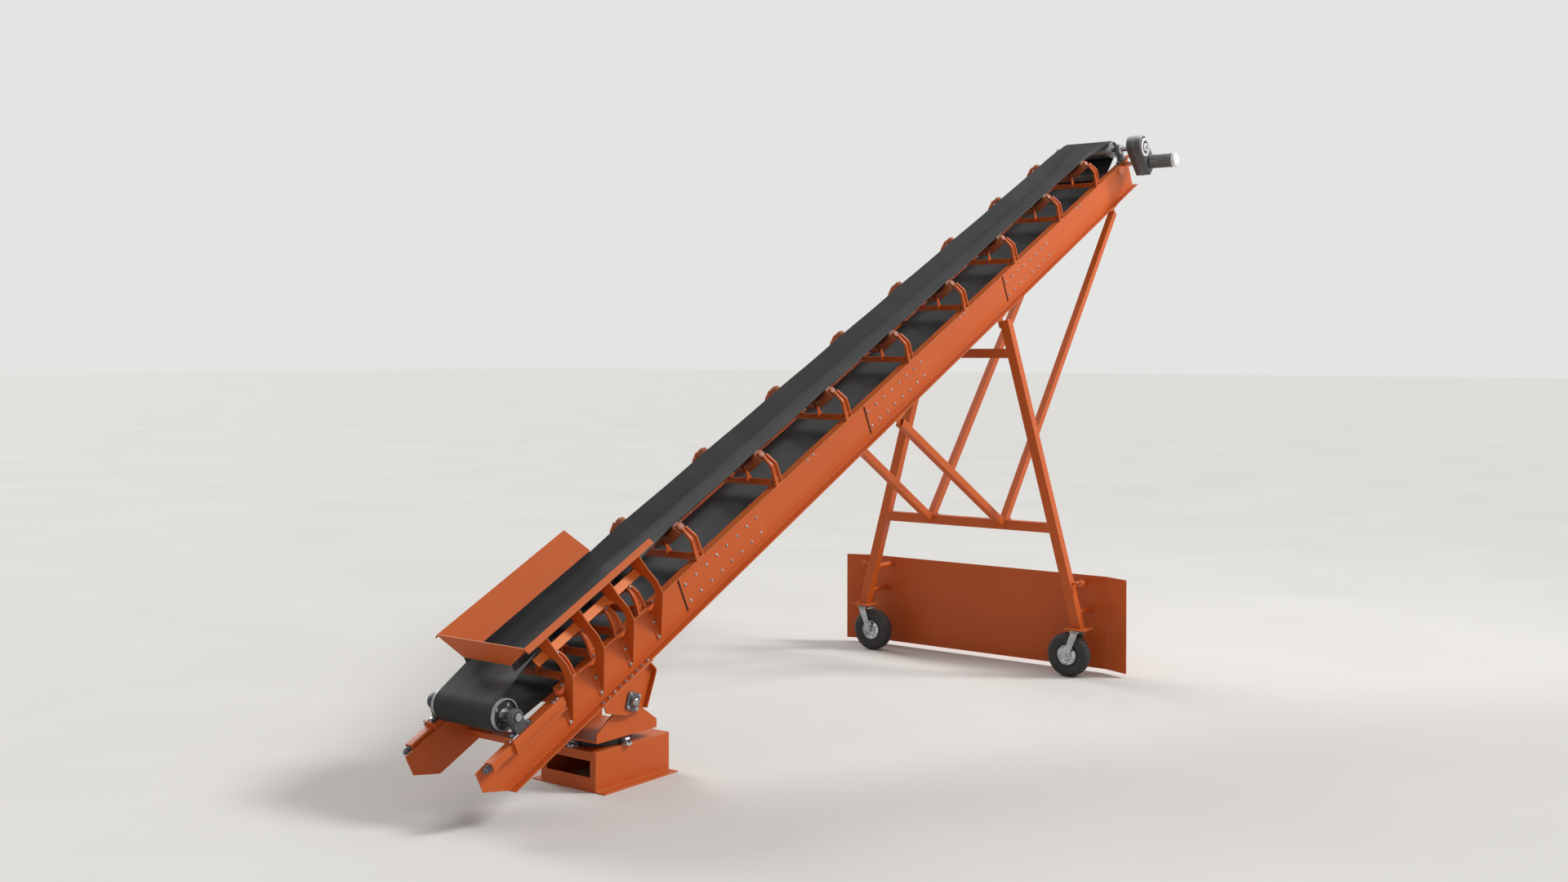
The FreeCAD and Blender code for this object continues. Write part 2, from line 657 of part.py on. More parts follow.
cheek_points = [(-table_half_length, table_bottom), (table_half_length, table_bottom),
                (table_half_length, table_bottom + table_end_height), (shoulder_x, cheek_top),
                (-shoulder_x, cheek_top), (-table_half_length, table_bottom + table_end_height)]
cheek = prism([V(x, table_half_width - table_sheet, z) for x, z in cheek_points], V(0, table_sheet, 0))
boss = rod(V(0, table_half_width - table_sheet, hinge_height), V(0, table_half_width, hinge_height), boss_radius)
cheek = cheek.fuse(boss)
table = deck.fuse(both_sides(cheek))
shaft_half = bearing_inner + hinge_bearing_out
table = table.cut(rod(V(0, -shaft_half, hinge_height), V(0, shaft_half, hinge_height), hinge_shaft_radius))
export("turntable", table.removeSplitter())
export("hinge_shaft", rod(V(0, -shaft_half, hinge_height), V(0, shaft_half, hinge_height), hinge_shaft_radius))

# Lugs below the rails for the legs and braces
slope_sin, slope_cos = math.sin(math.radians(incline_deg)), math.cos(math.radians(incline_deg))
lug_v = rail_bottom - lug_drop
lug_leg_u = (leg_foot_x + lug_v * slope_sin) / slope_cos
lug_half = leg_top_half - leg_size / 2 - lug_sheet


def lug_ear(u, side):
    """Upright ear of a lug, its foot pad left off."""
    ear = box(u - lug_width / 2, u + lug_width / 2, lug_half, lug_half + lug_sheet,
              lug_v - lug_width / 2, rail_bottom - lug_pad)
    return lift(pose(ear, side))


lugs = []
for u in (brace_tail_u, lug_leg_u, brace_head_u):
    for _, side in SIDES:
        pad = box(u - lug_width, u + lug_width, web_half, toe_half, rail_bottom - lug_pad, rail_bottom)
        lugs.append(lift(pose(pad, side)).fuse(lug_ear(u, side)))
export("rail_lugs", lugs)

# Legs, cross beams and braces of the undercarriage
leg_top_height = boom_point(lug_leg_u, 0, lug_v).z + lug_width / 4
leg_slope = (leg_foot_half - leg_top_half) / (leg_top_height - leg_foot_height)
leg_foot = V(leg_foot_x, leg_foot_half, leg_foot_height)
leg_top = V(leg_foot_x, leg_top_half, leg_top_height)


def leg_half_at(z):
    return leg_foot_half - (z - leg_foot_height) * leg_slope


plate_half = foot_plate_size / 2
plate_bottom = leg_foot_height - foot_plate
for name, side in SIDES:
    leg = square_tube(leg_foot - (leg_top - leg_foot) * leg_overrun, leg_top, leg_size, leg_wall, AXIS_X)
    leg = leg.cut(box(leg_foot_x - leg_size, leg_foot_x + leg_size, 0, leg_foot_half * 2,
                      0, leg_foot_height))
    plate = box(leg_foot_x - plate_half, leg_foot_x + plate_half, leg_foot_half - plate_half,
                leg_foot_half + plate_half, plate_bottom, leg_foot_height)
    eye_start = leg_half_at(eye_height) + leg_size / 2
    eye_middle = leg_half_at(eye_height) + eye_reach
    stem = rod(V(leg_foot_x, eye_start - leg_wall / 2, eye_height), V(leg_foot_x, eye_middle, eye_height), eye_stem_radius)
    eye_ends = V(leg_foot_x - eye_width / 2, eye_middle, eye_height), V(leg_foot_x + eye_width / 2, eye_middle, eye_height)
    eye = rod(*eye_ends, eye_radius).fuse(stem).cut(rod(*eye_ends, eye_bore))
    export("leg_" + name, pose(leg.fuse([plate, eye]), side))
leg_bars = both_sides(square_bar(leg_foot, leg_top, leg_size, AXIS_X))
for name, z in (("lower_beam", lower_beam_height), ("upper_beam", upper_beam_height)):
    half = leg_half_at(z)
    beam = square_tube(V(leg_foot_x, -half, z), V(leg_foot_x, half, z), beam_size, beam_wall, AXIS_X)
    export(name, beam.cut(leg_bars))

for end, u, foot_lift in (("head", brace_head_u, brace_head_lift), ("tail", brace_tail_u, brace_tail_lift)):
    for name, side in SIDES:
        top = boom_point(u, (lug_half + lug_sheet / 2) * side, lug_v)
        foot = V(leg_foot_x, brace_foot_half * side, lower_beam_height + foot_lift)
        brace = square_tube(foot, top, brace_size, brace_wall, AXIS_Y)
        beam_bar = square_bar(V(leg_foot_x, -leg_foot_half, lower_beam_height),
                              V(leg_foot_x, leg_foot_half, lower_beam_height), beam_size, AXIS_X)
        export("brace_" + end + "_" + name, brace.cut([lug_ear(u, side), beam_bar]))

# Guard plate, its two swept-back wings, and the two arms on each leg that hold it
blade = box(blade_x, blade_x + blade_sheet, -blade_half, blade_half, blade_bottom, blade_top)
export("guard_plate", blade)
wing_end_x, wing_end_half = blade_x - blade_wing_back, blade_half + blade_wing_out
wing_points = [(wing_end_x, wing_end_half), (blade_x, blade_half), (blade_x + blade_sheet, blade_half),
               (wing_end_x + blade_sheet, wing_end_half)]
wing = prism([V(x, y, blade_bottom) for x, y in wing_points], V(0, 0, blade_top - blade_bottom))
for name, side in SIDES:
    export("guard_wing_" + name, pose(wing, side))
arms = []
for z in arm_heights:
    for _, side in SIDES:
        y = leg_half_at(z) * side
        arms.append(rod(V(leg_foot_x + leg_size / 2, y, z), V(blade_x, y, z), arm_radius))
export("guard_arms", arms)

# Casters: a fork under each leg's foot plate and a wheel on its axle
crown_top = plate_bottom - swivel_height
wheel_y = leg_foot_half - swivel_trail
fork_half = fork_inside / 2
axle_half = fork_half + fork_sheet + axle_spare
bore_radius = axle_radius + running_gap
tyre_half = tyre_width / 2
rim_half = rim_width / 2
rim_profile = [(bore_radius, -hub_half), (hub_radius, -hub_half), (hub_radius, -rim_web_half),
               (rim_radius - rim_wall, -rim_web_half), (rim_radius - rim_wall, -rim_half), (rim_radius, -rim_half),
               (rim_radius, rim_half), (rim_radius - rim_wall, rim_half), (rim_radius - rim_wall, rim_web_half),
               (hub_radius, rim_web_half), (hub_radius, hub_half), (bore_radius, hub_half)]
tyre_half_profile = [(rim_radius, rim_half), (rim_radius + 20, tyre_half - 6), ((tyre_radius + rim_radius) / 2, tyre_half),
                     (tyre_radius - 26, tyre_half - 8), (tyre_radius, tyre_half - tyre_shoulder * 0.6)]
tyre_profile = [(r, -x) for r, x in tyre_half_profile] + tyre_half_profile[::-1]


def turned(profile):
    """Turn a profile of (radius, x) about the wheel's axle."""
    points = [V(leg_foot_x + x, wheel_y, tyre_radius + r) for r, x in profile]
    face = Part.Face(Part.makePolygon(points + [points[0]]))
    return face.revolve(V(leg_foot_x, wheel_y, tyre_radius), AXIS_X, 360)


fork_outline = [(leg_foot_half - fork_crown_in, crown_top), (leg_foot_half + fork_crown_out, crown_top),
                (wheel_y + 34, tyre_radius - 20), (wheel_y + 10, tyre_radius - 34),
                (wheel_y - 26, tyre_radius - 20), (wheel_y - 30, tyre_radius + 20)]
for name, side in SIDES:
    swivel = Part.makeCylinder(swivel_radius, swivel_height - seat_gap, V(leg_foot_x, leg_foot_half, crown_top))
    crown = box(leg_foot_x - fork_half - fork_sheet, leg_foot_x + fork_half + fork_sheet,
                leg_foot_half - fork_crown_in, leg_foot_half + fork_crown_out, crown_top - fork_crown, crown_top)
    cheeks = [prism([V(x, y, z) for y, z in fork_outline], V(fork_sheet, 0, 0))
              for x in (leg_foot_x - fork_half - fork_sheet, leg_foot_x + fork_half)]
    axle = rod(V(leg_foot_x - axle_half, wheel_y, tyre_radius), V(leg_foot_x + axle_half, wheel_y, tyre_radius),
               axle_radius)
    export("caster_fork_" + name, pose(crown.fuse(cheeks + [swivel, axle]), side))
    export("rim_" + name, pose(turned(rim_profile), side))
    export("tyre_" + name, pose(turned(tyre_profile), side))
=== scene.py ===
"""Looks of a radial stacker conveyor, made around its frame. Sizes are in millimetres."""
import math

import bpy
import numpy as np
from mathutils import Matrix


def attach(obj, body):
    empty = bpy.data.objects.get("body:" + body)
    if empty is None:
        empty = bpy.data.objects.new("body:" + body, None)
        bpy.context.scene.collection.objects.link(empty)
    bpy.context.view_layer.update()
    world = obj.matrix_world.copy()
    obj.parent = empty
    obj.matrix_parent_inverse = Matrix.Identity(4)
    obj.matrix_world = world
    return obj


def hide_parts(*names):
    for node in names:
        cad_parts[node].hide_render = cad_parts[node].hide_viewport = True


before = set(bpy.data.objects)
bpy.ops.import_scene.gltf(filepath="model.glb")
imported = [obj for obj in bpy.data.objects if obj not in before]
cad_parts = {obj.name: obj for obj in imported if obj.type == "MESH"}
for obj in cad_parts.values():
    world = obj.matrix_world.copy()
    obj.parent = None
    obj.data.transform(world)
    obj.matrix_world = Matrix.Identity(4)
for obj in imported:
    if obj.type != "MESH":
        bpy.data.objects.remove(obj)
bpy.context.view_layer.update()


# Ground and studio: a wide floor of pale floated concrete, level with the underside of the tyres.
# A broad key lamp stands at the front right, a weaker one behind and a soft wash near the head,
# with even light all round. The camera stands where the photograph was taken.
FLOOR_HALF = 220000
SKY = "E4E4E3"
EVEN_LIGHT = 0.45
SUNS = (  # name, strength, width in degrees, direction of its light
    ("key", 1.95, 14, (-0.42, 0.62, -0.66)),
    ("back", 1.3, 24, (-0.12, -0.8, -0.58)),
)
WASH_PLACE = (9000, -6400, 8200)
WASH_POWER, WASH_SIZE, WASH_TILT = 260, 4000, math.radians(68)
CAMERA_PLACE = (-9191, -8727, 3449)
CAMERA_YAW, CAMERA_PITCH, CAMERA_ROLL = math.radians(36.70), math.radians(-0.448), math.radians(-0.091)
LENS, SENSOR_WIDTH = 35.79, 36
FRAME_SHIFT = (-0.00104, -0.0494)


def linear(code):
    """An sRGB hex colour as linear red, green, blue and alpha."""
    parts = np.array([int(code[i:i + 2], 16) for i in (0, 2, 4)]) / 255
    curve = np.where(parts <= 0.04045, parts / 12.92, ((parts + 0.055) / 1.055) ** 2.4)
    return (*curve.tolist(), 1.0)


def add(tree, kind, links=None, values=None, **settings):
    """Add a shader node, set its attributes and sockets, and link its inputs. A Mix of colours takes its
    share at socket 0 and its two colours at 6 and 7, and gives the result at output 2."""
    node = tree.nodes.new("ShaderNode" + kind)
    for name, value in settings.items():
        setattr(node, name, value)
    for socket, value in (values or {}).items():
        node.inputs[socket].default_value = value
    for socket, source in (links or {}).items():
        tree.links.new(source, node.inputs[socket])
    return node


def blank(name):
    """A material with its own shader and object coordinates, ready for a finish's nodes."""
    material = bpy.data.materials.new(name)
    material.use_nodes = True
    tree = material.node_tree
    return material, tree, tree.nodes["Principled BSDF"], add(tree, "TexCoord").outputs["Object"]


floor_mesh = bpy.data.meshes.new("floor")
floor_corners = np.array([(-1, -1, 0), (1, -1, 0), (1, 1, 0), (-1, 1, 0)]) * FLOOR_HALF / 1000
floor_mesh.from_pydata(floor_corners.tolist(), [], [(0, 1, 2, 3)])
floor = bpy.data.objects.new("floor", floor_mesh)
bpy.context.scene.collection.objects.link(floor)
# Floated concrete is matt, and clouds of about 3 m, 0.35 a metre, keep it from looking like paper.
concrete, tree, shader, place = blank("floated_concrete")
cloud = add(tree, "TexNoise", {"Vector": place}, {"Scale": 0.35, "Detail": 6.0})
tint = add(tree, "Mix", {0: cloud.outputs["Fac"]}, {6: linear("C9C7C3"), 7: linear("D6D4D0")},
           data_type="RGBA")
tree.links.new(tint.outputs[2], shader.inputs["Base Color"])
shader.inputs["Roughness"].default_value = 0.85
floor_mesh.materials.append(concrete)

scene = bpy.context.scene
scene.view_settings.view_transform = "Standard"
world = bpy.data.worlds.new("studio")
scene.world = world
world.use_nodes = True
world.node_tree.nodes.clear()
tree = world.node_tree
ray = add(tree, "LightPath")
seen = add(tree, "Math", {0: ray.outputs["Is Camera Ray"], 1: ray.outputs["Is Glossy Ray"]},
           operation="MAXIMUM")
even = add(tree, "Background", values={"Color": linear("FFFFFF"), "Strength": EVEN_LIGHT})
shown = add(tree, "Background", values={"Color": linear(SKY), "Strength": 1.0})
both = add(tree, "MixShader", {0: seen.outputs[0], 1: even.outputs[0], 2: shown.outputs[0]})
add(tree, "OutputWorld", {"Surface": both.outputs[0]})

for name, strength, width, towards in SUNS:
    lamp = bpy.data.lights.new(name, "SUN")
    lamp.energy = strength
    lamp.angle = math.radians(width)
    lamp_object = bpy.data.objects.new(name, lamp)
    aim = np.array(towards) / np.linalg.norm(towards)
    lamp_object.rotation_euler = (math.acos(-aim[2]), 0, math.atan2(aim[1], aim[0]) - math.pi / 2)
    scene.collection.objects.link(lamp_object)

wash = bpy.data.lights.new("head_wash", "AREA")
wash.energy, wash.size = WASH_POWER, WASH_SIZE / 1000
wash_object = bpy.data.objects.new("head_wash", wash)
wash_object.location = [c / 1000 for c in WASH_PLACE]
wash_object.rotation_euler = (WASH_TILT, 0, 0)
scene.collection.objects.link(wash_object)

camera = bpy.data.objects.new("camera", bpy.data.cameras.new("camera"))
scene.collection.objects.link(camera)
scene.camera = camera
camera.location = [c / 1000 for c in CAMERA_PLACE]
camera.rotation_euler = (math.pi / 2 + CAMERA_PITCH, CAMERA_ROLL, CAMERA_YAW - math.pi / 2)
camera.data.lens = LENS
camera.data.sensor_width = SENSOR_WIDTH
camera.data.shift_x, camera.data.shift_y = FRAME_SHIFT
camera.data.clip_end = 2000


# Slewing base: a box folded and welded from 10 mm plate, open at the tail, with foot flanges.
# It is painted orange like the rest. Four plated clamps with two bolts each hold the ring's lower half.
BASE_TOP = 314
CLAMP_REACH, CLAMP_LENGTH, CLAMP_THICK = 268, 74, 14
JAW_HALF = 26
AHEAD, UP = (1, 0, 0), (0, 0, 1)
PLAN, SIDE = (0, 1, 2), (0, 2, 1)  # the two axes of an outline, and that of its thickness
# Pale brown for faces that look up: partly dust, partly a painted highlight of the light from above.
ORANGE_DUST_AND_TOP_LIGHT = "A8703F"
PAINT_CLOUDS, PAINT_PATCHES, PAINT_PEEL = 1.4, 9.0, 330.0  # a metre: drifts of 0.7 m, 0.1 m and 3 mm
PAINT_EDGE, METAL_EDGE = 6, 2
METAL_STAINS = 11.0  # a metre: stains of 90 mm


def enamel(name, colour, faded, edge, dust_and_top_light_share=0.14, gloss=0.44, dust_and_top_light=ORANGE_DUST_AND_TOP_LIGHT, shine=0.36):
    """Paint on steel: the colour drifts towards faded, turns to edge where the normal bends within
    PAINT_EDGE, which is partly wear and partly a painted highlight along the rounded edges, and to the top
    colour as the face turns up, which is partly a dusting and partly a painted highlight of the light from
    above; patches vary the wear, the dusting and the gloss, and an orange peel dents it."""
    material, tree, shader, place = blank(name)
    drift = add(tree, "TexNoise", {"Vector": place}, {"Scale": PAINT_CLOUDS, "Detail": 4.0})
    body = add(tree, "Mix", {0: drift.outputs["Fac"]}, {6: linear(colour), 7: linear(faded)},
               data_type="RGBA")
    patch = add(tree, "TexNoise", {"Vector": place},
                {"Scale": PAINT_PATCHES, "Detail": 6.0, "Roughness": 0.65})
    geometry = add(tree, "NewGeometry")
    rounding = add(tree, "Bevel", values={"Radius": PAINT_EDGE / 1000}, samples=4)
    bend = add(tree, "VectorMath", {0: rounding.outputs[0], 1: geometry.outputs["Normal"]},
               operation="DOT_PRODUCT")
    # Paler edges: wear, and a painted highlight where the rounded edges catch the light.
    rim = add(tree, "MapRange", {"Value": bend.outputs["Value"]},
              {"From Min": 0.995, "From Max": 0.85, "To Min": 0.0, "To Max": 1.3})
    edge_wear_and_highlight = add(tree, "Math", {0: rim.outputs[0], 1: patch.outputs["Fac"]}, operation="MULTIPLY")
    edged = add(tree, "Mix", {0: edge_wear_and_highlight.outputs[0], 6: body.outputs[2]}, {7: linear(edge)}, data_type="RGBA")
    # Paler tops: dust, and a painted highlight of the light from above.
    upward = add(tree, "SeparateXYZ", {0: geometry.outputs["Normal"]})
    lying = add(tree, "MapRange", {"Value": upward.outputs["Z"]},
                {"From Min": 0.2, "From Max": 1.0, "To Max": dust_and_top_light_share * 2})
    dust_and_top_light_mask = add(tree, "Math", {0: lying.outputs[0], 1: patch.outputs["Fac"]}, operation="MULTIPLY")
    top = add(tree, "Mix", {0: dust_and_top_light_mask.outputs[0], 6: edged.outputs[2]}, {7: linear(dust_and_top_light)}, data_type="RGBA")
    tree.links.new(top.outputs[2], shader.inputs["Base Color"])
    sheen = add(tree, "MapRange", {"Value": patch.outputs["Fac"]},
                {"To Min": gloss - 0.08, "To Max": gloss + 0.16})
    tree.links.new(sheen.outputs[0], shader.inputs["Roughness"])
    shader.inputs["Specular IOR Level"].default_value = shine
    peel = add(tree, "TexNoise", {"Vector": place}, {"Scale": PAINT_PEEL, "Detail": 2.0})
    skin = add(tree, "Bump", {"Height": peel.outputs["Fac"], "Normal": rounding.outputs[0]},
               {"Strength": 0.12, "Distance": 0.0004})
    tree.links.new(skin.outputs[0], shader.inputs["Normal"])
    return material


def steel(name, colour, dark, roughness, metallic, grain, relief, stretch=(1, 1, 1)):
    """Bare, plated or cast metal: a grain of the given millimetres, drawn out by stretch, times its stains
    gives the tone between dark and colour; the stains vary the roughness, and the grain dents it by relief
    millimetres."""
    material, tree, shader, place = blank(name)
    drawn = add(tree, "Mapping", {"Vector": place}, {"Scale": stretch})
    speck = add(tree, "TexNoise", {"Vector": drawn.outputs[0]}, {"Scale": 1000 / grain, "Detail": 3.0})
    stain = add(tree, "TexNoise", {"Vector": place}, {"Scale": METAL_STAINS, "Detail": 5.0})
    tone = add(tree, "Math", {0: speck.outputs["Fac"], 1: stain.outputs["Fac"]}, operation="MULTIPLY")
    spread = add(tree, "MapRange", {"Value": tone.outputs[0]}, {"From Min": 0.12, "From Max": 0.4})
    body = add(tree, "Mix", {0: spread.outputs[0]}, {6: linear(dark), 7: linear(colour)}, data_type="RGBA")
    tree.links.new(body.outputs[2], shader.inputs["Base Color"])
    shader.inputs["Metallic"].default_value = metallic
    sheen = add(tree, "MapRange", {"Value": stain.outputs["Fac"]},
                {"To Min": roughness - 0.08, "To Max": roughness + 0.14})
    tree.links.new(sheen.outputs[0], shader.inputs["Roughness"])
    rounding = add(tree, "Bevel", values={"Radius": METAL_EDGE / 1000}, samples=4)
    skin = add(tree, "Bump", {"Height": speck.outputs["Fac"], "Normal": rounding.outputs[0]},
               {"Strength": 0.5, "Distance": relief / 1000})
    tree.links.new(skin.outputs[0], shader.inputs["Normal"])
    return material


# Orange enamel gives an even satin coat, paler along its edges, from rubbing and from a painted highlight,
# and paler where it faces up, from dust and from a painted highlight of the light above.
ORANGE_EDGE = "F09A60"
orange = enamel("orange_enamel", "C6591A", "B75018", ORANGE_EDGE)
# Greased steel is nearly black with a low shine, and zinc plating pale, bright and slightly mottled.
black_steel = steel("greased_black_steel", "4A4A4B", "2A2A2B", 0.45, 0.6, 4.0, 0.2)
zinc = steel("zinc_plated_steel", "C8CACC", "9A9C9E", 0.34, 0.9, 5.0, 0.1)


def coat(material, *nodes):
    """Give solids of the frame that stay in view their finish."""
    for node in nodes:
        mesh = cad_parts[node].data
        mesh.materials.clear()
        mesh.materials.append(material)


def between_rings(rings, points, close=False):
    """Quads between neighbouring rings of points; the last ring joins the first when close."""
    i = np.arange(rings if close else rings - 1)[:, None] * points
    j = np.arange(points)[None, :]
    after, turn = (i + points) % (rings * points), (j + 1) % points
    return np.stack([i + j, i + turn, after + turn, after + j], -1).reshape(-1, 4).tolist()


def swept(rings, close=False):
    """A closed outline carried through rings, an array (ring, point, 3), with flat ends unless it closes on
    itself."""
    count, points = rings.shape[:2]
    faces = between_rings(count, points, close)
    if not close:
        faces += [list(range(points))[::-1], list(range((count - 1) * points, count * points))]
    return rings.reshape(-1, 3), faces


def frame_of(axis):
    """Two unit vectors square to an axis and to each other, and the axis itself."""
    along = np.asarray(axis, float) / np.linalg.norm(axis)
    side = np.cross(along, UP if abs(along[2]) < 0.9 else AHEAD)
    side = side / np.linalg.norm(side)
    return side, np.cross(along, side), along


def slab(outline, low, high, order):
    """A flat outline given thickness from low to high; order names the outline's two axes and the
    thickness' one. The sum of x0 y1 - x1 y0 along the outline says which way it runs, and it is turned
    round where its faces would look inwards."""
    flat = np.asarray(outline, float)
    ahead = np.roll(flat, -1, 0)
    leftward = (flat[:, 0] * ahead[:, 1] - flat[:, 1] * ahead[:, 0]).sum() > 0
    if leftward == (order == SIDE):
        flat = flat[::-1]
    rings = np.zeros((2, len(flat), 3))
    rings[:, :, order[0]], rings[:, :, order[1]] = flat[:, 0], flat[:, 1]
    rings[0, :, order[2]], rings[1, :, order[2]] = low, high
    return swept(rings)


def rounded(points, radius, steps=5, closed=True):
    """An outline or open line with eased corners, (1-t)^2 a + 2t(1-t) corner + t^2 b, with a and b on the
    corner's sides."""
    corner = np.asarray(points, float)
    back, ahead = np.roll(corner, 1, 0) - corner, np.roll(corner, -1, 0) - corner
    back_length, ahead_length = (np.linalg.norm(side, axis=1)[:, None] for side in (back, ahead))
    start = corner + back / back_length * np.minimum(radius, back_length * 0.45)
    end = corner + ahead / ahead_length * np.minimum(radius, ahead_length * 0.45)
    t = np.linspace(0, 1, steps)[None, :, None]
    eased = (1 - t) ** 2 * start[:, None] + 2 * t * (1 - t) * corner[:, None] + t ** 2 * end[:, None]
    if closed:
        return eased.reshape(-1, corner.shape[1])
    return np.concatenate([corner[:1], eased[1:-1].reshape(-1, corner.shape[1]), corner[-1:]])


def piece(name, parts, body, material, stands_for=(), edge=1.5):
    """Join parts of (points in mm, faces) into one object at the origin, ease its edges, and let it ride on a
    body."""
    starts = np.cumsum([0] + [len(v) for v, _ in parts])
    points = np.concatenate([np.asarray(v, float).reshape(-1, 3) for v, _ in parts]) / 1000
    faces = [[i + start for i in face] for (_, quads), start in zip(parts, starts.tolist()) for face in quads]
    mesh = bpy.data.meshes.new(name)
    mesh.from_pydata(points.tolist(), [], faces)
    mesh.validate()
    mesh.materials.append(material)
    made = bpy.data.objects.new(name, mesh)
    scene.collection.objects.link(made)
    if edge:
        easing = made.modifiers.new("eased_edges", "BEVEL")
        easing.width, easing.segments = edge / 1000, 2
        easing.limit_method, easing.angle_limit = "ANGLE", math.radians(40)
    mesh.shade_smooth()
    mesh.set_sharp_from_angle(angle=math.radians(35))
    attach(made, body)
    if stands_for:
        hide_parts(*stands_for)
    return made


def bolts(centres, axis, size):
    """Hex heads of half width size on washers, one per centre, along one axis or each along its own: rings
    for washer, its top, hexagon, its top and chamfer. Each is turned 0.7 radians further than the last, as
    a spanner leaves them."""
    angle = np.arange(12) * math.tau / 12
    hexagon = np.where(np.arange(12) % 2, math.cos(math.pi / 6), 1.0) * 0.98
    rise = np.array([0, 0.14, 0.14, 0.72, 0.8]) * size
    radius = np.array([np.full(12, 1.12), np.full(12, 1.12), hexagon, hexagon, np.full(12, 0.76)]) * size
    made = []
    for index, (centre, out) in enumerate(zip(centres, np.broadcast_to(axis, (len(centres), 3)))):
        side, up, along = frame_of(out)
        turn = angle + index * 0.7
        circle = np.cos(turn)[:, None] * side + np.sin(turn)[:, None] * up
        place = np.asarray(centre, float) + rise[:, None, None] * along
        made.append(swept(place + radius[:, :, None] * circle[None]))
    return made


coat(orange, "base_frame")
coat(black_steel, "slew_ring_base")
CLAMP_OUT = CLAMP_REACH + CLAMP_LENGTH
clamp_feet, clamp_bolts = [], []
for quarter in range(4):
    turn = quarter * math.pi / 2
    spin = np.array([[math.cos(turn), math.sin(turn), 0], [-math.sin(turn), math.cos(turn), 0], [0, 0, 1]])
    foot = slab(rounded([(CLAMP_REACH, -46), (CLAMP_OUT, -30), (CLAMP_OUT, 30), (CLAMP_REACH, 46)], 16),
                BASE_TOP, BASE_TOP + CLAMP_THICK, PLAN)
    nose = [(0, 12), (26, 12), (52, 40), (40, 58), (0, 58)]
    jaw = slab(rounded([(CLAMP_REACH + x, BASE_TOP + z) for x, z in nose], 8), -JAW_HALF, JAW_HALF, SIDE)
    clamp_feet += [(v @ spin, q) for v, q in (foot, jaw)]
    heads = np.array([(CLAMP_REACH + 56, y, BASE_TOP + CLAMP_THICK) for y in (-22, 22)]) @ spin
    clamp_bolts += bolts(heads, UP, 13)
piece("ring_clamps", clamp_feet, "base", zinc)
piece("clamp_bolts", clamp_bolts, "base", zinc, edge=0)


# Turntable: a ring half bolted below a folded deck whose two cheeks carry the hinge shaft.
# The ring is greased steel, and the shaft is turned from bar with its ends faced bright.
coat(black_steel, "slew_ring_table")
coat(orange, "turntable")
# Turned bar is bright, with fine tool marks running round it.
bright_steel = steel("turned_bar_steel", "C6C8CA", "8E9092", 0.26, 1.0, 1.5, 0.05, (1, 12, 1))
coat(bright_steel, "hinge_shaft")


# Hangers: orange plates bolted under the rails by nine bolts each and stiffened by a bent edge.
# A grey cast bearing with four bolted ears holds each plate to the hinge shaft, which ends in a bright dome.
HINGE_HEIGHT = 665
INCLINE = math.radians(26.37)
RAIL_LOW = 228
LEFT, DOWN = (0, 1, 0), (0, 0, -1)
HANGER_IN, HANGER_OUT = 350, 362
HANGER_EDGE, HANGER_LIP, HANGER_SHEET = [(273, 216), (328, 85), (90, -124)], 52, 8
HANGER_ROW, HANGER_ROW_Y = np.linspace(-325, 241, 9), 425
BEARING_REACH, EAR_REACH = 104, 74
SHAFT_END = HANGER_OUT + 34.6


def on_boom(parts):
    """Parts drawn along the boom as (u, y, v), set on it: x = u cos a - v sin a and
    z = hinge + u sin a + v cos a."""
    c, s = math.cos(INCLINE), math.sin(INCLINE)
    lift = np.array([[c, 0, s], [0, 1, 0], [-s, 0, c]])
    hinge = np.array([0, 0, HINGE_HEIGHT])
    return [(np.asarray(v, float).reshape(-1, 3) @ lift + hinge, q) for v, q in parts]


def mirrored(parts, flip=(1, -1, 1)):
    """The parts and their mirror images, by default across the machine's middle."""
    return parts + [(np.asarray(v) * np.array(flip), [f[::-1] for f in q]) for v, q in parts]


def turned(profile, start, axis, count=32):
    """A profile of (distance, radius) turned about an axis: point = start + d axis + r (side cos a +
    up sin a)."""
    side, up, along = frame_of(axis)
    reach, radius = np.array(profile, float).T
    angle = np.arange(count) * math.tau / count
    circle = np.cos(angle)[:, None] * side + np.sin(angle)[:, None] * up
    return swept(np.asarray(start, float) + reach[:, None, None] * along + radius[:, None, None] * circle)


def mitres(line):
    """Offsets beside a line of points, a unit away from both sides at each corner: (a + b) / (1 + a.b)."""
    run = np.diff(line, axis=0)
    side = np.stack([run[:, 1], -run[:, 0]], -1) / np.linalg.norm(run, axis=1)[:, None]
    first, second = np.concatenate([side[:1], side]), np.concatenate([side, side[-1:]])
    return (first + second) / (1 + (first * second).sum(1))[:, None]


def strip(path, near, far):
    """Outline between two distances beside a line of points."""
    line = np.asarray(path, float)
    return np.concatenate([line + mitres(line) * near, (line + mitres(line) * far)[::-1]])


coat(orange, "hanger_left", "hanger_right")
bent_edge = slab(strip(rounded(HANGER_EDGE, 30, 5, False), 0, HANGER_SHEET),
                 HANGER_IN, HANGER_IN + HANGER_LIP, SIDE)
piece("hanger_edges", on_boom(mirrored([bent_edge])), "boom", orange, edge=1)
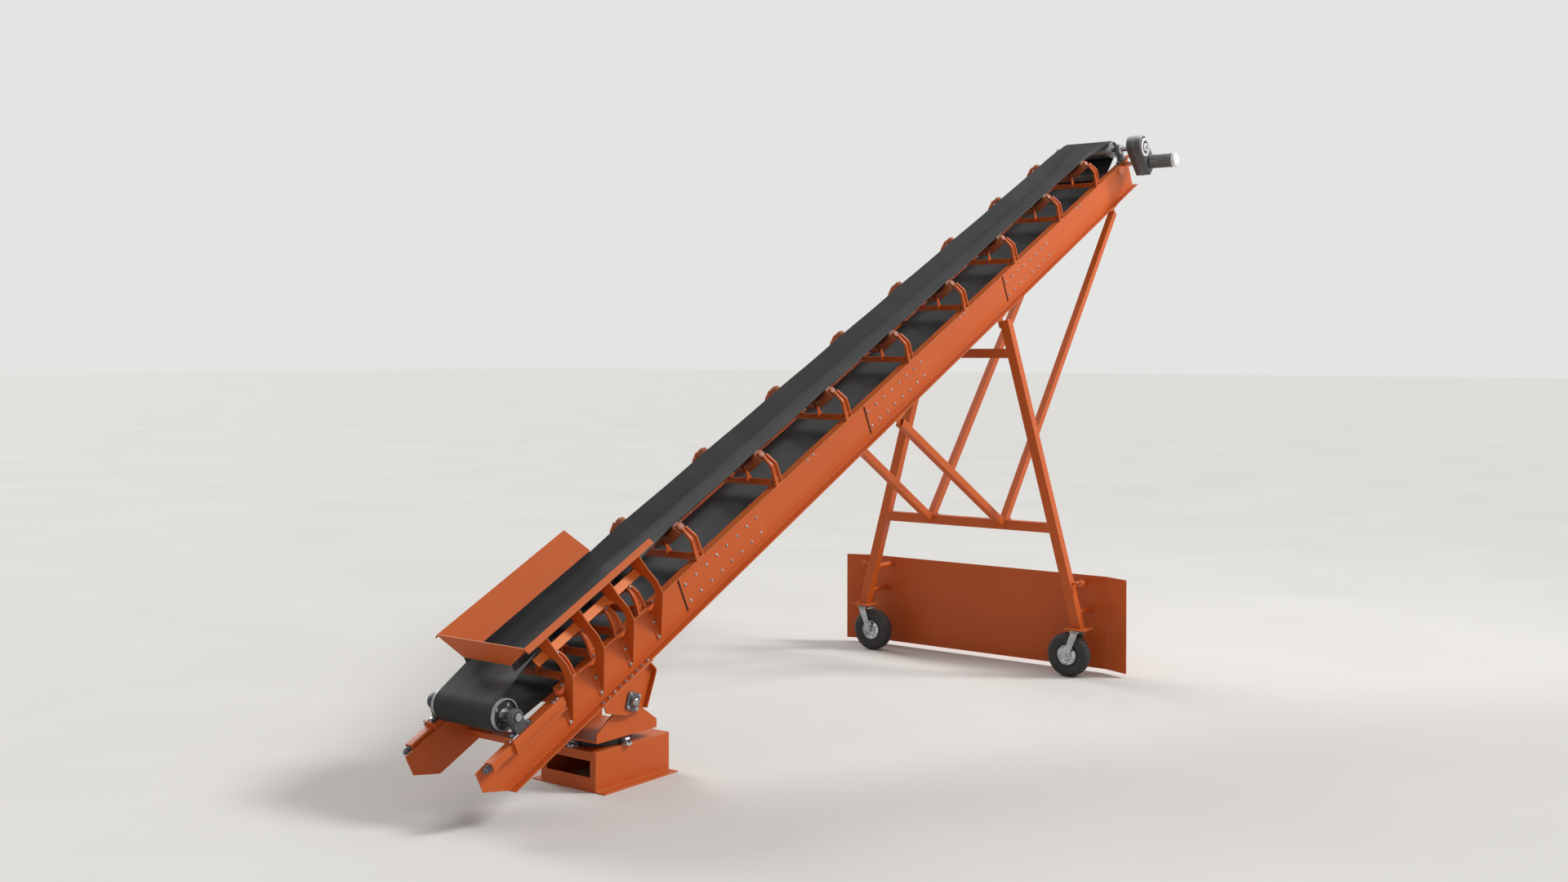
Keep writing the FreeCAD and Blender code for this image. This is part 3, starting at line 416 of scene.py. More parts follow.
# Grey iron keeps the matt grain of its sand mould.
cast_iron = steel("grey_cast_iron", "74777A", "4C4E51", 0.5, 0.35, 3.0, 0.5)
diamond = rounded([(-BEARING_REACH, 0), (0, BEARING_REACH), (BEARING_REACH, 0), (0, -BEARING_REACH)], 40, 9)
height, size = np.array([(0, 1.0), (12, 1.0), (16, 0.95), (16, 0.6), (26, 0.57), (30, 0.5)]).T[:, :, None]
flange = np.stack([diamond[:, 0] * size, np.broadcast_to(HANGER_OUT + height, (6, len(diamond))),
                   diamond[:, 1] * size], -1)
race = turned([(0, 46), (8, 46), (10, 44), (10, 38), (6, 37), (6, 2)], (0, HANGER_OUT + 24, 0), LEFT)
piece("hinge_bearings", on_boom(mirrored([swept(flange), race])), "boom", cast_iron,
      ("hinge_bearing_left", "hinge_bearing_right"))
shaft_dome = turned([(0, 37), (8, 36), (16, 30), (22, 18), (24, 4)], (0, SHAFT_END, 0), LEFT, 36)
piece("hinge_caps", on_boom(mirrored([shaft_dome])), "boom", bright_steel, edge=0)
ears = [(a * EAR_REACH, HANGER_OUT + 15, b * EAR_REACH) for a, b in ((1, 0), (-1, 0), (0, 1), (0, -1))]
heads = [(u, HANGER_ROW_Y, RAIL_LOW + 8) for u in HANGER_ROW]
nuts = [(u, HANGER_ROW_Y, RAIL_LOW - 12) for u in HANGER_ROW]
hanger_bolts = bolts(ears, LEFT, 13) + bolts(heads, UP, 13) + bolts(nuts, DOWN, 12)
piece("hanger_bolts", on_boom(mirrored(hanger_bolts)), "boom", zinc, edge=0)


# Rails: four lengths of folded channel a side, joined by bolted splice plates.
# Two rows of eight zinc plated bolts go through each plate, six inches apart.
WEB_HALF = 381
RIGHT = (0, -1, 0)
PLATE_OUT = WEB_HALF + 8
SPLICE_ROWS = (497, 341)
SPLICE_BOLT_FIRST = (932, 3961, 7011)
SPLICE_MIDDLES, SPLICE_HALF, EDGE_SHADOW_WIDTH = (1462, 4510, 7558), 584, 8
BOLT_PITCH = 152.4


def rectangle(low_a, low_b, high_a, high_b):
    """The four corners between a rectangle's lowest and highest one."""
    return [(low_a, low_b), (high_a, low_b), (high_a, high_b), (low_a, high_b)]


def block(low, high):
    """A box between two corners."""
    return slab(rectangle(*low[:2], *high[:2]), low[2], high[2], PLAN)


coat(orange, "rail_left", "rail_right", "splice_plates_left", "splice_plates_right", "cross_members",
     "rail_lugs")
row = np.arange(8) * BOLT_PITCH
splice = [(first + step, PLATE_OUT, v) for first in SPLICE_BOLT_FIRST for v in SPLICE_ROWS for step in row]
splice_bolts = bolts(splice, LEFT, 12)
inside = [(u, WEB_HALF - 8, v) for u, _, v in splice]
splice_bolts += bolts(inside, RIGHT, 11)
piece("splice_bolts", on_boom(mirrored(splice_bolts)), "boom", zinc, edge=0)
# A black strip on the web beside each splice plate's tail end paints the shadow line of the plate's edge.
plate_edge_shadows = [block((middle - SPLICE_HALF - EDGE_SHADOW_WIDTH, WEB_HALF, 281), (middle - SPLICE_HALF, PLATE_OUT + 1, 581))
         for middle in SPLICE_MIDDLES]
piece("splice_edge_painted_shadows", on_boom(mirrored(plate_edge_shadows)), "boom", black_steel, edge=0.5)


# Return idlers: plain rolls on drop brackets bolted inside the webs, and a snub roll before the head.
# Steel tube worn bright where the belt runs.
RETURN_ROLLS = (2942, 5990, 9038)
BRACKET_HALF, BRACKET_TOE = 72, 24
BRACKET_TOP, BRACKET_KNEE, BRACKET_LOW = 590, 545, 430
BRACKET_BOLT_HALF, BRACKET_BOLT_V = 50.5, 566
# Worn tube shines in streaks between stains of brown dust.
worn_steel = steel("worn_roll_steel", "8A8480", "5A4A42", 0.38, 0.8, 6.0, 0.1)
coat(worn_steel, "return_rolls", "bend_roll")
bracket = [(-BRACKET_HALF, BRACKET_TOP), (BRACKET_HALF, BRACKET_TOP), (BRACKET_HALF, BRACKET_KNEE),
           (BRACKET_TOE, BRACKET_LOW), (-BRACKET_TOE, BRACKET_LOW), (-BRACKET_HALF, BRACKET_KNEE)]
hangs = [slab(rounded([(u + du, v) for du, v in bracket], 14), WEB_HALF - 16, WEB_HALF - 8, SIDE)
         for u in RETURN_ROLLS]
piece("return_brackets", on_boom(mirrored(hangs)), "boom", orange)
bracket_bolts = bolts([(u + side * BRACKET_BOLT_HALF, WEB_HALF, BRACKET_BOLT_V) for u in RETURN_ROLLS
                       for side in (-1, 1)], LEFT, 12)
piece("return_bolts", on_boom(mirrored(bracket_bolts)), "boom", zinc, edge=0)


# Trough idlers: an angle across the rails, curved channel arms and small posts holding three rolls, and four
# flatter ones where the load lands. Arms and angle are pressed steel, painted with the rails; the rolls are
# painted tube with dished ends.
TOE_HALF, RAIL_TOP = 454, 634
IDLER_PITCH = 1219.2
IDLERS = np.array([1133 + IDLER_PITCH * k for k in range(7)] + [9529])
IMPACT_IDLERS = np.array([-549 + 297 * k for k in range(4)])
BELT_LOW, BELT_FLAT = 832, 120
ROLL_RADIUS, ROLL_LENGTH, ROLL_GAP, ROLL_CLEAR = 51, 224, 6, 0.3
ROLL_AXIS = BELT_LOW - ROLL_RADIUS - ROLL_CLEAR
ANGLE_LEG, ANGLE_SHEET = 45, 8 * 1.4
ARM_LIP, ARM_SHEET, ARM_EDGE = 26, 7, 16
SECTION = (1, 2, 0)
# The rolls' enamel has gone brown with dust and is duller than the rest.
roll_brown = enamel("roll_enamel", "A65A34", "8A4A2E", "C88058", 0.1)


def channel_arm(u, path, widths):
    """Pressed channel along a path in (y, v): its web follows the path, its rims stand out by ARM_LIP, and
    its width goes evenly with the path's length through the given widths. The rims are drawn wide, as
    rolled edges look."""
    reach = np.concatenate([[0], np.cumsum(np.linalg.norm(np.diff(path, axis=0), axis=1))])
    half = np.interp(reach / reach[-1], np.linspace(0, 1, len(widths)), widths) / 2
    rim = half - ARM_EDGE
    across = np.stack([-half, -half, half, half, rim, rim, -rim, -rim], -1)
    depth = np.array([ARM_LIP, 0, 0, ARM_LIP, ARM_LIP, ARM_SHEET, ARM_SHEET, ARM_LIP])
    flat = path[:, None] + depth[None, :, None] * mitres(path)[:, None]
    return swept(np.concatenate([u + across[:, :, None], flat], -1))


def idler(u, degrees, path, widths, cap_radius):
    """One idler's frame parts, caps and rolls at u along the boom; its side rolls rise by degrees."""
    inner = ANGLE_LEG - ANGLE_SHEET
    ridge = rounded([(u - ANGLE_LEG, RAIL_TOP), (u, RAIL_TOP + ANGLE_LEG), (u + ANGLE_LEG, RAIL_TOP),
                     (u + inner, RAIL_TOP), (u, RAIL_TOP + inner), (u - inner, RAIL_TOP)], 5, 3)
    angle = slab(ridge, -WEB_HALF, WEB_HALF, SIDE)
    arm = channel_arm(u, rounded(path, 12, 4, False), widths)
    half, foot_top, back = widths[0] / 2, RAIL_TOP + 8, path[0][0] + 4
    foot = slab(rounded(rectangle(u - half, WEB_HALF - 2, u + half, TOE_HALF), 10),
                RAIL_TOP, foot_top, PLAN)
    brace = slab([(WEB_HALF - 60, RAIL_TOP + 30), (WEB_HALF, foot_top), (back, foot_top),
                  (back, RAIL_TOP + 70)], u - 3, u + 3, SECTION)
    rib = slab(rectangle(back, RAIL_TOP + 52, back + 16, RAIL_TOP + 58),
               u - half * 0.86, u + half * 0.86, SECTION)
    side = [(40, RAIL_TOP + 14), (17, ROLL_AXIS - 62), (24, ROLL_AXIS + 18)]
    post = slab(rounded([(u + du, v) for du, v in side] + [(u - du, v) for du, v in side[::-1]], 10),
                116, 124, SIDE)
    c, s = math.cos(math.radians(degrees)), math.sin(math.radians(degrees))
    seat = ROLL_RADIUS + ROLL_CLEAR
    along = np.array([0, c, s])
    start = np.array([u, BELT_FLAT + seat * s, BELT_LOW - seat * c])
    cap = turned([(0, cap_radius - 3), (2, cap_radius), (15, cap_radius), (20, cap_radius - 4),
                  (22, cap_radius * 0.6)], start + along * (ROLL_GAP + ROLL_LENGTH + 1), along, 24)
    dished = [(6, 9), (6, ROLL_RADIUS - 9), (0, ROLL_RADIUS - 6), (0, ROLL_RADIUS - 1), (1, ROLL_RADIUS)]
    shape = dished + [(ROLL_LENGTH - d, r) for d, r in dished[::-1]]
    rolls = mirrored([turned(shape, start + along * ROLL_GAP, along, 28)])
    rolls.append(turned(shape, (u, -ROLL_LENGTH / 2, ROLL_AXIS), LEFT, 28))
    return [angle] + mirrored([arm, foot, brace, rib, post]), mirrored([cap]), rolls


# Name, its nodes' name, places, roll slope, arm path, arm widths, cap radius, bolts' half pitch and y.
IDLER_KINDS = (
    ("trough", "idler", IDLERS, 35, [(428, 640), (436, 822), (370, 910)], (100, 92, 78, 56), 34, 26, 412),
    ("loading", "impact", IMPACT_IDLERS, 20, [(424, 638), (430, 720), (420, 790), (392, 838), (372, 852)],
     (104, 94, 78, 48), 28, 30, 404),
)
all_caps, foot_places = [], []
for name, node, places, degrees, path, widths, cap_radius, bolt_half, bolt_y in IDLER_KINDS:
    frames, rolls = [], []
    for u in places:
        made, caps, turning = idler(u, degrees, path, widths, cap_radius)
        frames += made
        all_caps += caps
        rolls += turning
        foot_places += [(u - bolt_half, bolt_y, RAIL_TOP + 8), (u + bolt_half, bolt_y, RAIL_TOP + 8)]
    piece(name + "_idlers", on_boom(frames), "boom", orange, (node + "_frames",))
    piece(name + "_rolls", on_boom(rolls), "boom", roll_brown, (node + "_rolls",), edge=0)
piece("roll_end_caps", on_boom(all_caps), "boom", roll_brown, edge=0)
arm_bolts = bolts(foot_places, UP, 11)
arm_bolts += bolts([(u, 402, 866) for u in IMPACT_IDLERS], (0, 0.5, 0.86), 12)
piece("idler_bolts", on_boom(mirrored(arm_bolts)), "boom", zinc, edge=0)


# Pulleys: steel drums with plate ends on through shaft; the tail one's ends have lightening holes.
# The rims stand past the belt and are polished by it; the ends are dull.
TAIL_U, TAIL_V, TAIL_RADIUS = -1133, 714, 120
HEAD_U, HEAD_V, HEAD_RADIUS = 10373, 791, 101.6
DRUM_HALF, DRUM_WALL = 340, 9
SHAFT_RADIUS, HUB_RADIUS = 30, 48
TAIL_SHAFT, HEAD_SHAFT = (473, 473), (451, 772)
HOLE_RING, HOLE_RADIUS, HOLE_COUNT = 80, 17, 4
END_THICK = 12


def holed_disc(radius, bore, centre, steps=32):
    """Plate end with round holes, a closed solid in each hole's sector: its surface runs from the hole's
    circle out to the sector's border, point = hole point (1-t) + border point t, with the border a square
    in (angle, radius)."""
    a = np.arange(steps) * math.tau / steps
    reach = 1 / np.maximum(abs(np.cos(a)), abs(np.sin(a)))
    border_r = (radius + bore) / 2 + (radius - bore) / 2 * np.cos(a) * reach
    border_a = math.pi / HOLE_COUNT * np.sin(a) * reach
    border = np.stack([border_r * np.cos(border_a), border_r * np.sin(border_a)], -1)
    circle = np.stack([HOLE_RING + HOLE_RADIUS * np.cos(a), HOLE_RADIUS * np.sin(a)], -1)
    t = np.array([0, 0, 1 / 3, 2 / 3, 1, 1])[:, None, None]
    depth = np.array([-END_THICK, 0, 0, 0, 0, -END_THICK])[:, None]
    flat = circle * (1 - t) + border * t
    made = []
    for k in range(HOLE_COUNT):
        spin = k * math.tau / HOLE_COUNT + 0.5
        x = flat[:, :, 0] * math.cos(spin) - flat[:, :, 1] * math.sin(spin)
        z = flat[:, :, 0] * math.sin(spin) + flat[:, :, 1] * math.cos(spin)
        made.append(swept(np.stack([x, np.broadcast_to(depth, x.shape), z], -1) + np.array(centre), True))
    return made


def drum(u, v, radius, left, right):
    """Shell with rolled rims and hub, and its shaft from -right to left across the boom."""
    shell = [(26, HUB_RADIUS), (26, radius - DRUM_WALL), (0, radius - DRUM_WALL), (0, radius - 1),
             (1, radius - 0.3)]
    hub = [(18, SHAFT_RADIUS + 1), (18, HUB_RADIUS - 2), (21, HUB_RADIUS), (28, HUB_RADIUS)]
    shell, hub = (ends + [(2 * DRUM_HALF - d, r) for d, r in ends[::-1]] for ends in (shell, hub))
    shaft = [(0, 6), (0, SHAFT_RADIUS - 2), (2, SHAFT_RADIUS), (left + right - 2, SHAFT_RADIUS),
             (left + right, SHAFT_RADIUS - 2), (left + right, 6)]
    skin = [turned(shell, (u, -DRUM_HALF, v), LEFT, 64), turned(hub, (u, -DRUM_HALF, v), LEFT, 48)]
    return skin, [turned(shaft, (u, -right, v), LEFT, 40)]


# Belt-polished steel gleams, with faint marks drawn out along the drum's face.
drum_steel = steel("belt_polished_steel", "BFC1C2", "84868A", 0.36, 0.85, 8.0, 0.15, (1, 0.2, 1))
tail_drum, tail_shaft = drum(TAIL_U, TAIL_V, TAIL_RADIUS, *TAIL_SHAFT)
head_drum, head_shaft = drum(HEAD_U, HEAD_V, HEAD_RADIUS, *HEAD_SHAFT)
piece("tail_drum", on_boom(tail_drum), "boom", drum_steel, ("tail_pulley",), edge=0)
piece("head_drum", on_boom(head_drum), "boom", drum_steel, ("head_pulley",), edge=0)
piece("pulley_shafts", on_boom(tail_shaft + head_shaft), "boom", bright_steel, edge=0)
tail_ends = mirrored(holed_disc(TAIL_RADIUS - DRUM_WALL, HUB_RADIUS, (TAIL_U, DRUM_HALF - 20, TAIL_V)))
piece("tail_drum_ends", on_boom(tail_ends), "boom", black_steel, edge=0)


# Belt: one endless three-ply rubber belt, 24 inches wide, troughed by the idlers and flat over the pulleys.
# Both covers are charcoal rubber, scuffed along its run, with dust left by what it carried.
BELT_HALF, BELT_THICK, BELT_SAG = 305, 10, 4
BELT_FOLD = 24
BEND_U, BEND_V = 9950, 576
RETURN_TOP, RETURN_EASE, RETURN_FIRST = 516, 400, 250


def arc(centre, radius, start, end, steps):
    """Points on a circle from start to end, in radians, each with the outward direction."""
    a = np.linspace(start, end, steps)
    out = np.stack([np.cos(a), np.sin(a)], -1)
    return np.asarray(centre, float) + radius * out, out


def low_angle(c0, r0, c1, r1):
    """Direction from both centres to the line that touches two circles from below, in radians."""
    du, dv = c1[0] - c0[0], c1[1] - c0[1]
    return math.atan2(dv, du) - math.asin((r1 - r0) / math.hypot(du, dv)) - math.pi / 2


# The upper run is a grid of (u, height, slope of the wings); the lower run is circles and what touches them.
stations = np.array([(TAIL_U, TAIL_V + TAIL_RADIUS, 0), (-600, BELT_LOW, 20), (393, BELT_LOW, 20),
                     (1082, BELT_LOW, 35), (9580, BELT_LOW, 35), (HEAD_U, HEAD_V + HEAD_RADIUS, 0)])
run = np.linspace(TAIL_U, HEAD_U, 420)
height = np.interp(run, stations[:, 0], stations[:, 1])
trough = np.interp(run, stations[:, 0], stations[:, 2])
between = (run > IDLERS[0]) & (run < IDLERS[6])
height -= np.where(between, BELT_SAG * np.sin((run - IDLERS[0]) / IDLER_PITCH * math.pi) ** 2, 0)
centres = [((HEAD_U, HEAD_V), HEAD_RADIUS), ((BEND_U, BEND_V), ROLL_RADIUS),
           ((RETURN_FIRST, RETURN_TOP + RETURN_EASE), RETURN_EASE), ((TAIL_U, TAIL_V), TAIL_RADIUS)]
leave = [low_angle(*centres[k + 1], *centres[k]) for k in range(3)]
lines, outs, folds = [np.stack([run, height], -1)], [np.tile([0.0, 1.0], (len(run), 1))], [trough]
for (centre, radius), start, end in zip(centres, [math.pi / 2, *leave], [*leave, -1.5 * math.pi]):
    points, out = arc(centre, radius, start, end, 20)
    first = 1 if radius == HEAD_RADIUS else 0
    lines.append(points[first:])
    outs.append(out[first:])
    folds.append(np.zeros(len(lines[-1])))
line, out, fold = (np.concatenate(parts)[:-1] for parts in (lines, outs, folds))

# Across the belt, the slope eases in at the folds, and its cosine and sine add up to the place and the rise.
across = np.linspace(-BELT_HALF, BELT_HALF, 41)
share = np.clip((abs(across) - BELT_FLAT + BELT_FOLD / 2) / BELT_FOLD, 0, 1)
lean = np.radians(fold)[:, None] * (share * share * (3 - 2 * share))[None]
step = across[1] - across[0]
mid = len(across) // 2
along_y = np.cumsum(np.cos(lean), 1) * step
along_y -= along_y[:, mid:mid + 1]
climb = np.sin(lean) * np.sign(across)
rise = np.cumsum((climb + np.roll(climb, 1, 1)) / 2, 1) * step
rise -= rise[:, mid:mid + 1]
inner = np.stack([line[:, :1] + out[:, :1] * rise, along_y, line[:, 1:] + out[:, 1:] * rise], -1)
outward = np.stack([out[:, :1] * np.cos(lean), -climb, out[:, 1:] * np.cos(lean)], -1)
belt_rings = np.concatenate([inner, (inner + BELT_THICK * outward)[:, ::-1]], 1)

# Belt rubber is matt charcoal, with scuffs 32 times as long as they are wide, a film of dust in patches of
# 0.5 m, and a grain of 2.4 mm.
belt_skin, tree, shader, place = blank("scuffed_belt_rubber")
along_run = add(tree, "Mapping", {"Vector": place}, {"Rotation": (0, INCLINE, 0), "Scale": (0.5, 16, 3)})
scuff = add(tree, "TexNoise", {"Vector": along_run.outputs[0]},
            {"Scale": 1.6, "Detail": 7.0, "Roughness": 0.6})
cloud = add(tree, "TexNoise", {"Vector": place}, {"Scale": 2.2, "Detail": 5.0})
tone = add(tree, "Mix", {0: scuff.outputs["Fac"]}, {6: linear("171718"), 7: linear("29292B")},
           data_type="RGBA")
film = add(tree, "MapRange", {"Value": cloud.outputs["Fac"]},
           {"From Min": 0.45, "From Max": 0.8, "To Max": 0.24})
dusted = add(tree, "Mix", {0: film.outputs[0], 6: tone.outputs[2]}, {7: linear("4C4B4A")}, data_type="RGBA")
tree.links.new(dusted.outputs[2], shader.inputs["Base Color"])
dull = add(tree, "MapRange", {"Value": scuff.outputs["Fac"]}, {"To Min": 0.55, "To Max": 0.8})
tree.links.new(dull.outputs[0], shader.inputs["Roughness"])
shader.inputs["Specular IOR Level"].default_value = 0.32
grain = add(tree, "TexNoise", {"Vector": place}, {"Scale": 420.0, "Detail": 2.0})
skin = add(tree, "Bump", {"Height": grain.outputs["Fac"]}, {"Strength": 0.3, "Distance": 0.0006})
tree.links.new(skin.outputs[0], shader.inputs["Normal"])
piece("belt_loop", on_boom([swept(belt_rings, True)]), "boom", belt_skin, ("belt",), edge=0)


# Take-ups: a sleeve folded from plate slides on a square tube and carries the tail bearing.
# A zinc plated screw with two nuts pulls it tight from the tail end, and a rod goes through a stop above it.
TAKEUP_Y, TAKEUP_V = 431, 540
SLEEVE_TAIL, SLEEVE_HEAD, SLEEVE_HALF = -1262, -716, 50
TUBE_TAIL, TUBE_HEAD, TUBE_HALF = -1491, -690, 38
STOP_V = TAKEUP_V + 63
BACK = (-1, 0, 0)


def takeup_bar(low_y, low_v, high_y, high_v, radius, tail, head):
    """A bar along the boom: its section's corners are counted from the take-up's middle, eased by radius."""
    section = rectangle(TAKEUP_Y + low_y, TAKEUP_V + low_v, TAKEUP_Y + high_y, TAKEUP_V + high_v)
    return slab(rounded(section, radius, 4) if radius else section, tail, head, SECTION)


sleeve = [takeup_bar(-SLEEVE_HALF, -SLEEVE_HALF, SLEEVE_HALF, SLEEVE_HALF, 9, SLEEVE_TAIL, SLEEVE_HEAD),
          takeup_bar(44, -SLEEVE_HALF, 64, -44, 0, SLEEVE_TAIL, SLEEVE_HEAD),
          takeup_bar(-56, -56, 60, 56, 9, SLEEVE_TAIL - 2, SLEEVE_TAIL + 12),
          takeup_bar(-40, 48, 60, 74, 8, SLEEVE_TAIL - 2, SLEEVE_TAIL + 10)]
stop_rod = turned([(0, 7), (20, 7), (20, 11), (32, 11), (32, 7), (92, 7)],
                  (SLEEVE_TAIL - 22, TAKEUP_Y + 34, STOP_V), AHEAD, 12)
piece("takeup_rods", on_boom(mirrored([stop_rod])), "boom", zinc, edge=0)
piece("takeup_sleeves", on_boom(mirrored(sleeve)), "boom", orange,
      ("takeup_sleeve_left", "takeup_sleeve_right"))
tube = takeup_bar(-TUBE_HALF, -TUBE_HALF, TUBE_HALF, TUBE_HALF, 10, TUBE_TAIL, TUBE_HEAD)
piece("takeup_tubes", on_boom(mirrored([tube])), "boom", orange,
      ("takeup_tube_left", "takeup_tube_right"))
thread = [(d, 12 + (k % 2) * 1.6) for k, d in enumerate(np.arange(0, 66, 2.0))]
screw = [turned(thread, (TUBE_TAIL - 60, TAKEUP_Y, TAKEUP_V), AHEAD, 20)]
nuts = bolts([(TUBE_TAIL, TAKEUP_Y, TAKEUP_V), (TUBE_TAIL - 30, TAKEUP_Y, TAKEUP_V)], BACK, 25)
piece("takeup_screws", on_boom(mirrored(screw + nuts)), "boom", cast_iron, edge=0)


# Tail bearings: cast pillow blocks on the take-up sleeves, held by two bolts each.
# The sleeves' own two bolts stand behind them. The iron is darker here, with grease and dust.
FOOT_HALF, FOOT_DEEP, FOOT_THICK = 112, 26, 20
FOOT_BOLT_HALF = 86


def pillow(u, y, v, seat):
    """Cast pillow block: a turned housing, a necked foot and two rounded ears, open at the shaft."""
    housing = turned([(-30, 52), (-27, 58), (-10, 62), (10, 62), (27, 58), (30, 52), (30, 36), (26, 34),
                      (26, 31)], (u, y, v), LEFT, 40)
    neck = slab(rounded([(u - 62, seat + 16), (u + 62, seat + 16), (u + 44, v), (u - 44, v)], 12),
                y - 24, y + 24, SIDE)
    foot = slab(rounded(rectangle(u - FOOT_HALF, y - FOOT_DEEP, u + FOOT_HALF, y + FOOT_DEEP), 24),
                seat, seat + FOOT_THICK, PLAN)
    return [housing, neck, foot]


SLEEVE_TOP = TAKEUP_V + SLEEVE_HALF
# Dark iron has the same sand grain, blackened by grease.
block_grey = steel("dark_cast_iron", "5A5D60", "38393C", 0.5, 0.3, 3.0, 0.5)
tail_blocks = mirrored(pillow(TAIL_U, TAKEUP_Y, TAIL_V, SLEEVE_TOP))
piece("tail_bearings", on_boom(tail_blocks), "boom", block_grey)
sleeve_bolts = [(TAIL_U + side * FOOT_BOLT_HALF, TAKEUP_Y, SLEEVE_TOP + FOOT_THICK) for side in (-1, 1)]
sleeve_bolts += [(SLEEVE_HEAD - du, TAKEUP_Y + 20, SLEEVE_TOP) for du in (30, 70)]
sleeve_heads = mirrored(bolts(sleeve_bolts, UP, 15))
piece("takeup_bolts", on_boom(sleeve_heads), "boom", zinc, edge=0)


# Head bearings and drive: pillow blocks on the rails, a shaft-mounted reducer and its ribbed motor.
# The reducer is cast in two halves, and the shade inside its hollow output bore is painted as a black ring
# round the shaft.
HEAD_BEARING_Y = 401
CASE_IN, CASE_OUT = 560, 748
CASE_HALF, CASE_DOME, CASE_FOOT = 117, 46, -360
CASE_MIDDLE = np.array([0, -100])
DRIVE_LEAN = math.radians(20)
MOTOR_DROP, MOTOR_LENGTH, MOTOR_RADIUS, MOTOR_RIBS = -235, 302, 84, 30


def on_drive(parts):
    """Parts drawn round the head shaft as (across the case, y, along it), leaned with the reducer and moved
    to the head: u = across cos b - along sin b, v = across sin b + along cos b."""
    c, s = math.cos(DRIVE_LEAN), math.sin(DRIVE_LEAN)
    lean = np.array([[c, 0, s], [0, 1, 0], [-s, 0, c]])
    return on_boom([(np.asarray(v, float).reshape(-1, 3) @ lean + np.array([HEAD_U, 0, HEAD_V]), q)
                    for v, q in parts])


head_blocks = mirrored(pillow(HEAD_U, HEAD_BEARING_Y, HEAD_V, RAIL_TOP))
piece("head_bearing_blocks", on_boom(head_blocks), "boom", cast_iron, ("head_bearings",))
head_bolts = [(HEAD_U + side * FOOT_BOLT_HALF, HEAD_BEARING_Y, RAIL_TOP + FOOT_THICK) for side in (-1, 1)]
bearing_heads = mirrored(bolts(head_bolts, UP, 15))
piece("head_bolts", on_boom(bearing_heads), "boom", zinc, edge=0)

# Grey machine enamel is satin on rough castings; their pale tops are mostly a painted highlight of the light
# from above, with some dust.
drive_grey = enamel("dark_grey_enamel", "505255", "434548", "B8BABC", 0.7, 0.3, "CFCCC7", 0.45)
motor_grey = enamel("charcoal_enamel", "48494B", "3C3D3F", "9A9C9E", 0.8, 0.32, "D2D0CC", 0.5)
dome_turn = np.linspace(0, math.pi, 25)[1:-1, None]
case_dome = np.hstack([CASE_HALF * np.cos(dome_turn), CASE_DOME + CASE_HALF * np.sin(dome_turn)])
case_foot = rounded([(-CASE_HALF, CASE_DOME), (-CASE_HALF, CASE_FOOT), (CASE_HALF, CASE_FOOT),
                     (CASE_HALF, CASE_DOME)], 16, 5, False)
case_line = np.concatenate([case_foot, case_dome])
depth, size = np.array([(CASE_IN, 0.95), (CASE_IN + 6, 0.985), (CASE_IN + 84, 0.985), (CASE_IN + 84, 1.0),
                        (CASE_IN + 100, 1.0), (CASE_IN + 100, 0.985), (CASE_OUT - 6, 0.98),
                        (CASE_OUT, 0.95)]).T[:, :, None]
shape = CASE_MIDDLE + (case_line - CASE_MIDDLE)[None] * size[:, :, None]
case = np.stack([shape[:, :, 0], np.broadcast_to(-depth, shape.shape[:2]), shape[:, :, 1]], -1)
piece("reducer_case", on_drive([swept(case)]), "boom", drive_grey, ("gearbox",))
# Machined faces are nearly white, a painted highlight of the direct light on them, with a soft shine.
highlight_white_steel = steel("machined_steel_painted_highlight", "ECEDEE", "CDCFD1", 0.3, 0.35, 4.0, 0.05)
caps = mirrored([turned([(0, 68), (14, 68), (21, 61), (22, 8)], (HEAD_U, HEAD_BEARING_Y + 30, HEAD_V),
                        LEFT, 40)])
piece("head_bearing_caps", on_boom(caps), "boom", highlight_white_steel, edge=0)
face = (0, -CASE_OUT, 0)
output = [turned([(0, 114), (11, 114), (14, 110), (14, 84), (2, 80), (2, 70)], face, RIGHT, 56),
          turned([(0, 50), (16, 50), (18, 47), (18, 30)], face, RIGHT, 40)]
piece("reducer_output", on_drive(output), "boom", highlight_white_steel, edge=0)
# A flat black ring paints the shade inside the hollow bore.
bore_shade_ring = turned([(0, 83), (5, 83), (5, 49), (0, 49)], face, RIGHT, 48)
piece("reducer_bore_painted_shade", on_drive([bore_shade_ring]), "boom", black_steel, edge=0)
case_bolts = [(97 * math.cos(a), -CASE_OUT - 14, 97 * math.sin(a)) for a in np.arange(8) * math.tau / 8]
case_bolts += [(x, -CASE_OUT + 2, z) for x in (-98, 98) for z in (-335, -160)]
case_heads = bolts(case_bolts, RIGHT, 7)
piece("reducer_bolts", on_drive(case_heads), "boom", zinc, edge=0)

# The motor's housing is a collar and then ribs all round, each two points high and two points low.
spokes = np.arange(4 * MOTOR_RIBS)
ribs = MOTOR_RADIUS * np.where(spokes % 4 < 2, 1.0, 0.94)
collar, housing_round = np.full((2, len(ribs)), 70.0), np.full((2, len(ribs)), float(MOTOR_RADIUS))
radius = np.concatenate([collar, housing_round, [ribs, ribs]])
reach = np.array([0, 14, 14, 30, 30, MOTOR_LENGTH])[:, None]
turn = spokes * math.tau / len(spokes)
housing = np.stack([radius * np.cos(turn), np.broadcast_to(-CASE_OUT - reach, radius.shape),
                    MOTOR_DROP + radius * np.sin(turn)], -1)
piece("motor_body", on_drive([swept(housing)]), "boom", motor_grey, ("drive_motor",), edge=0)
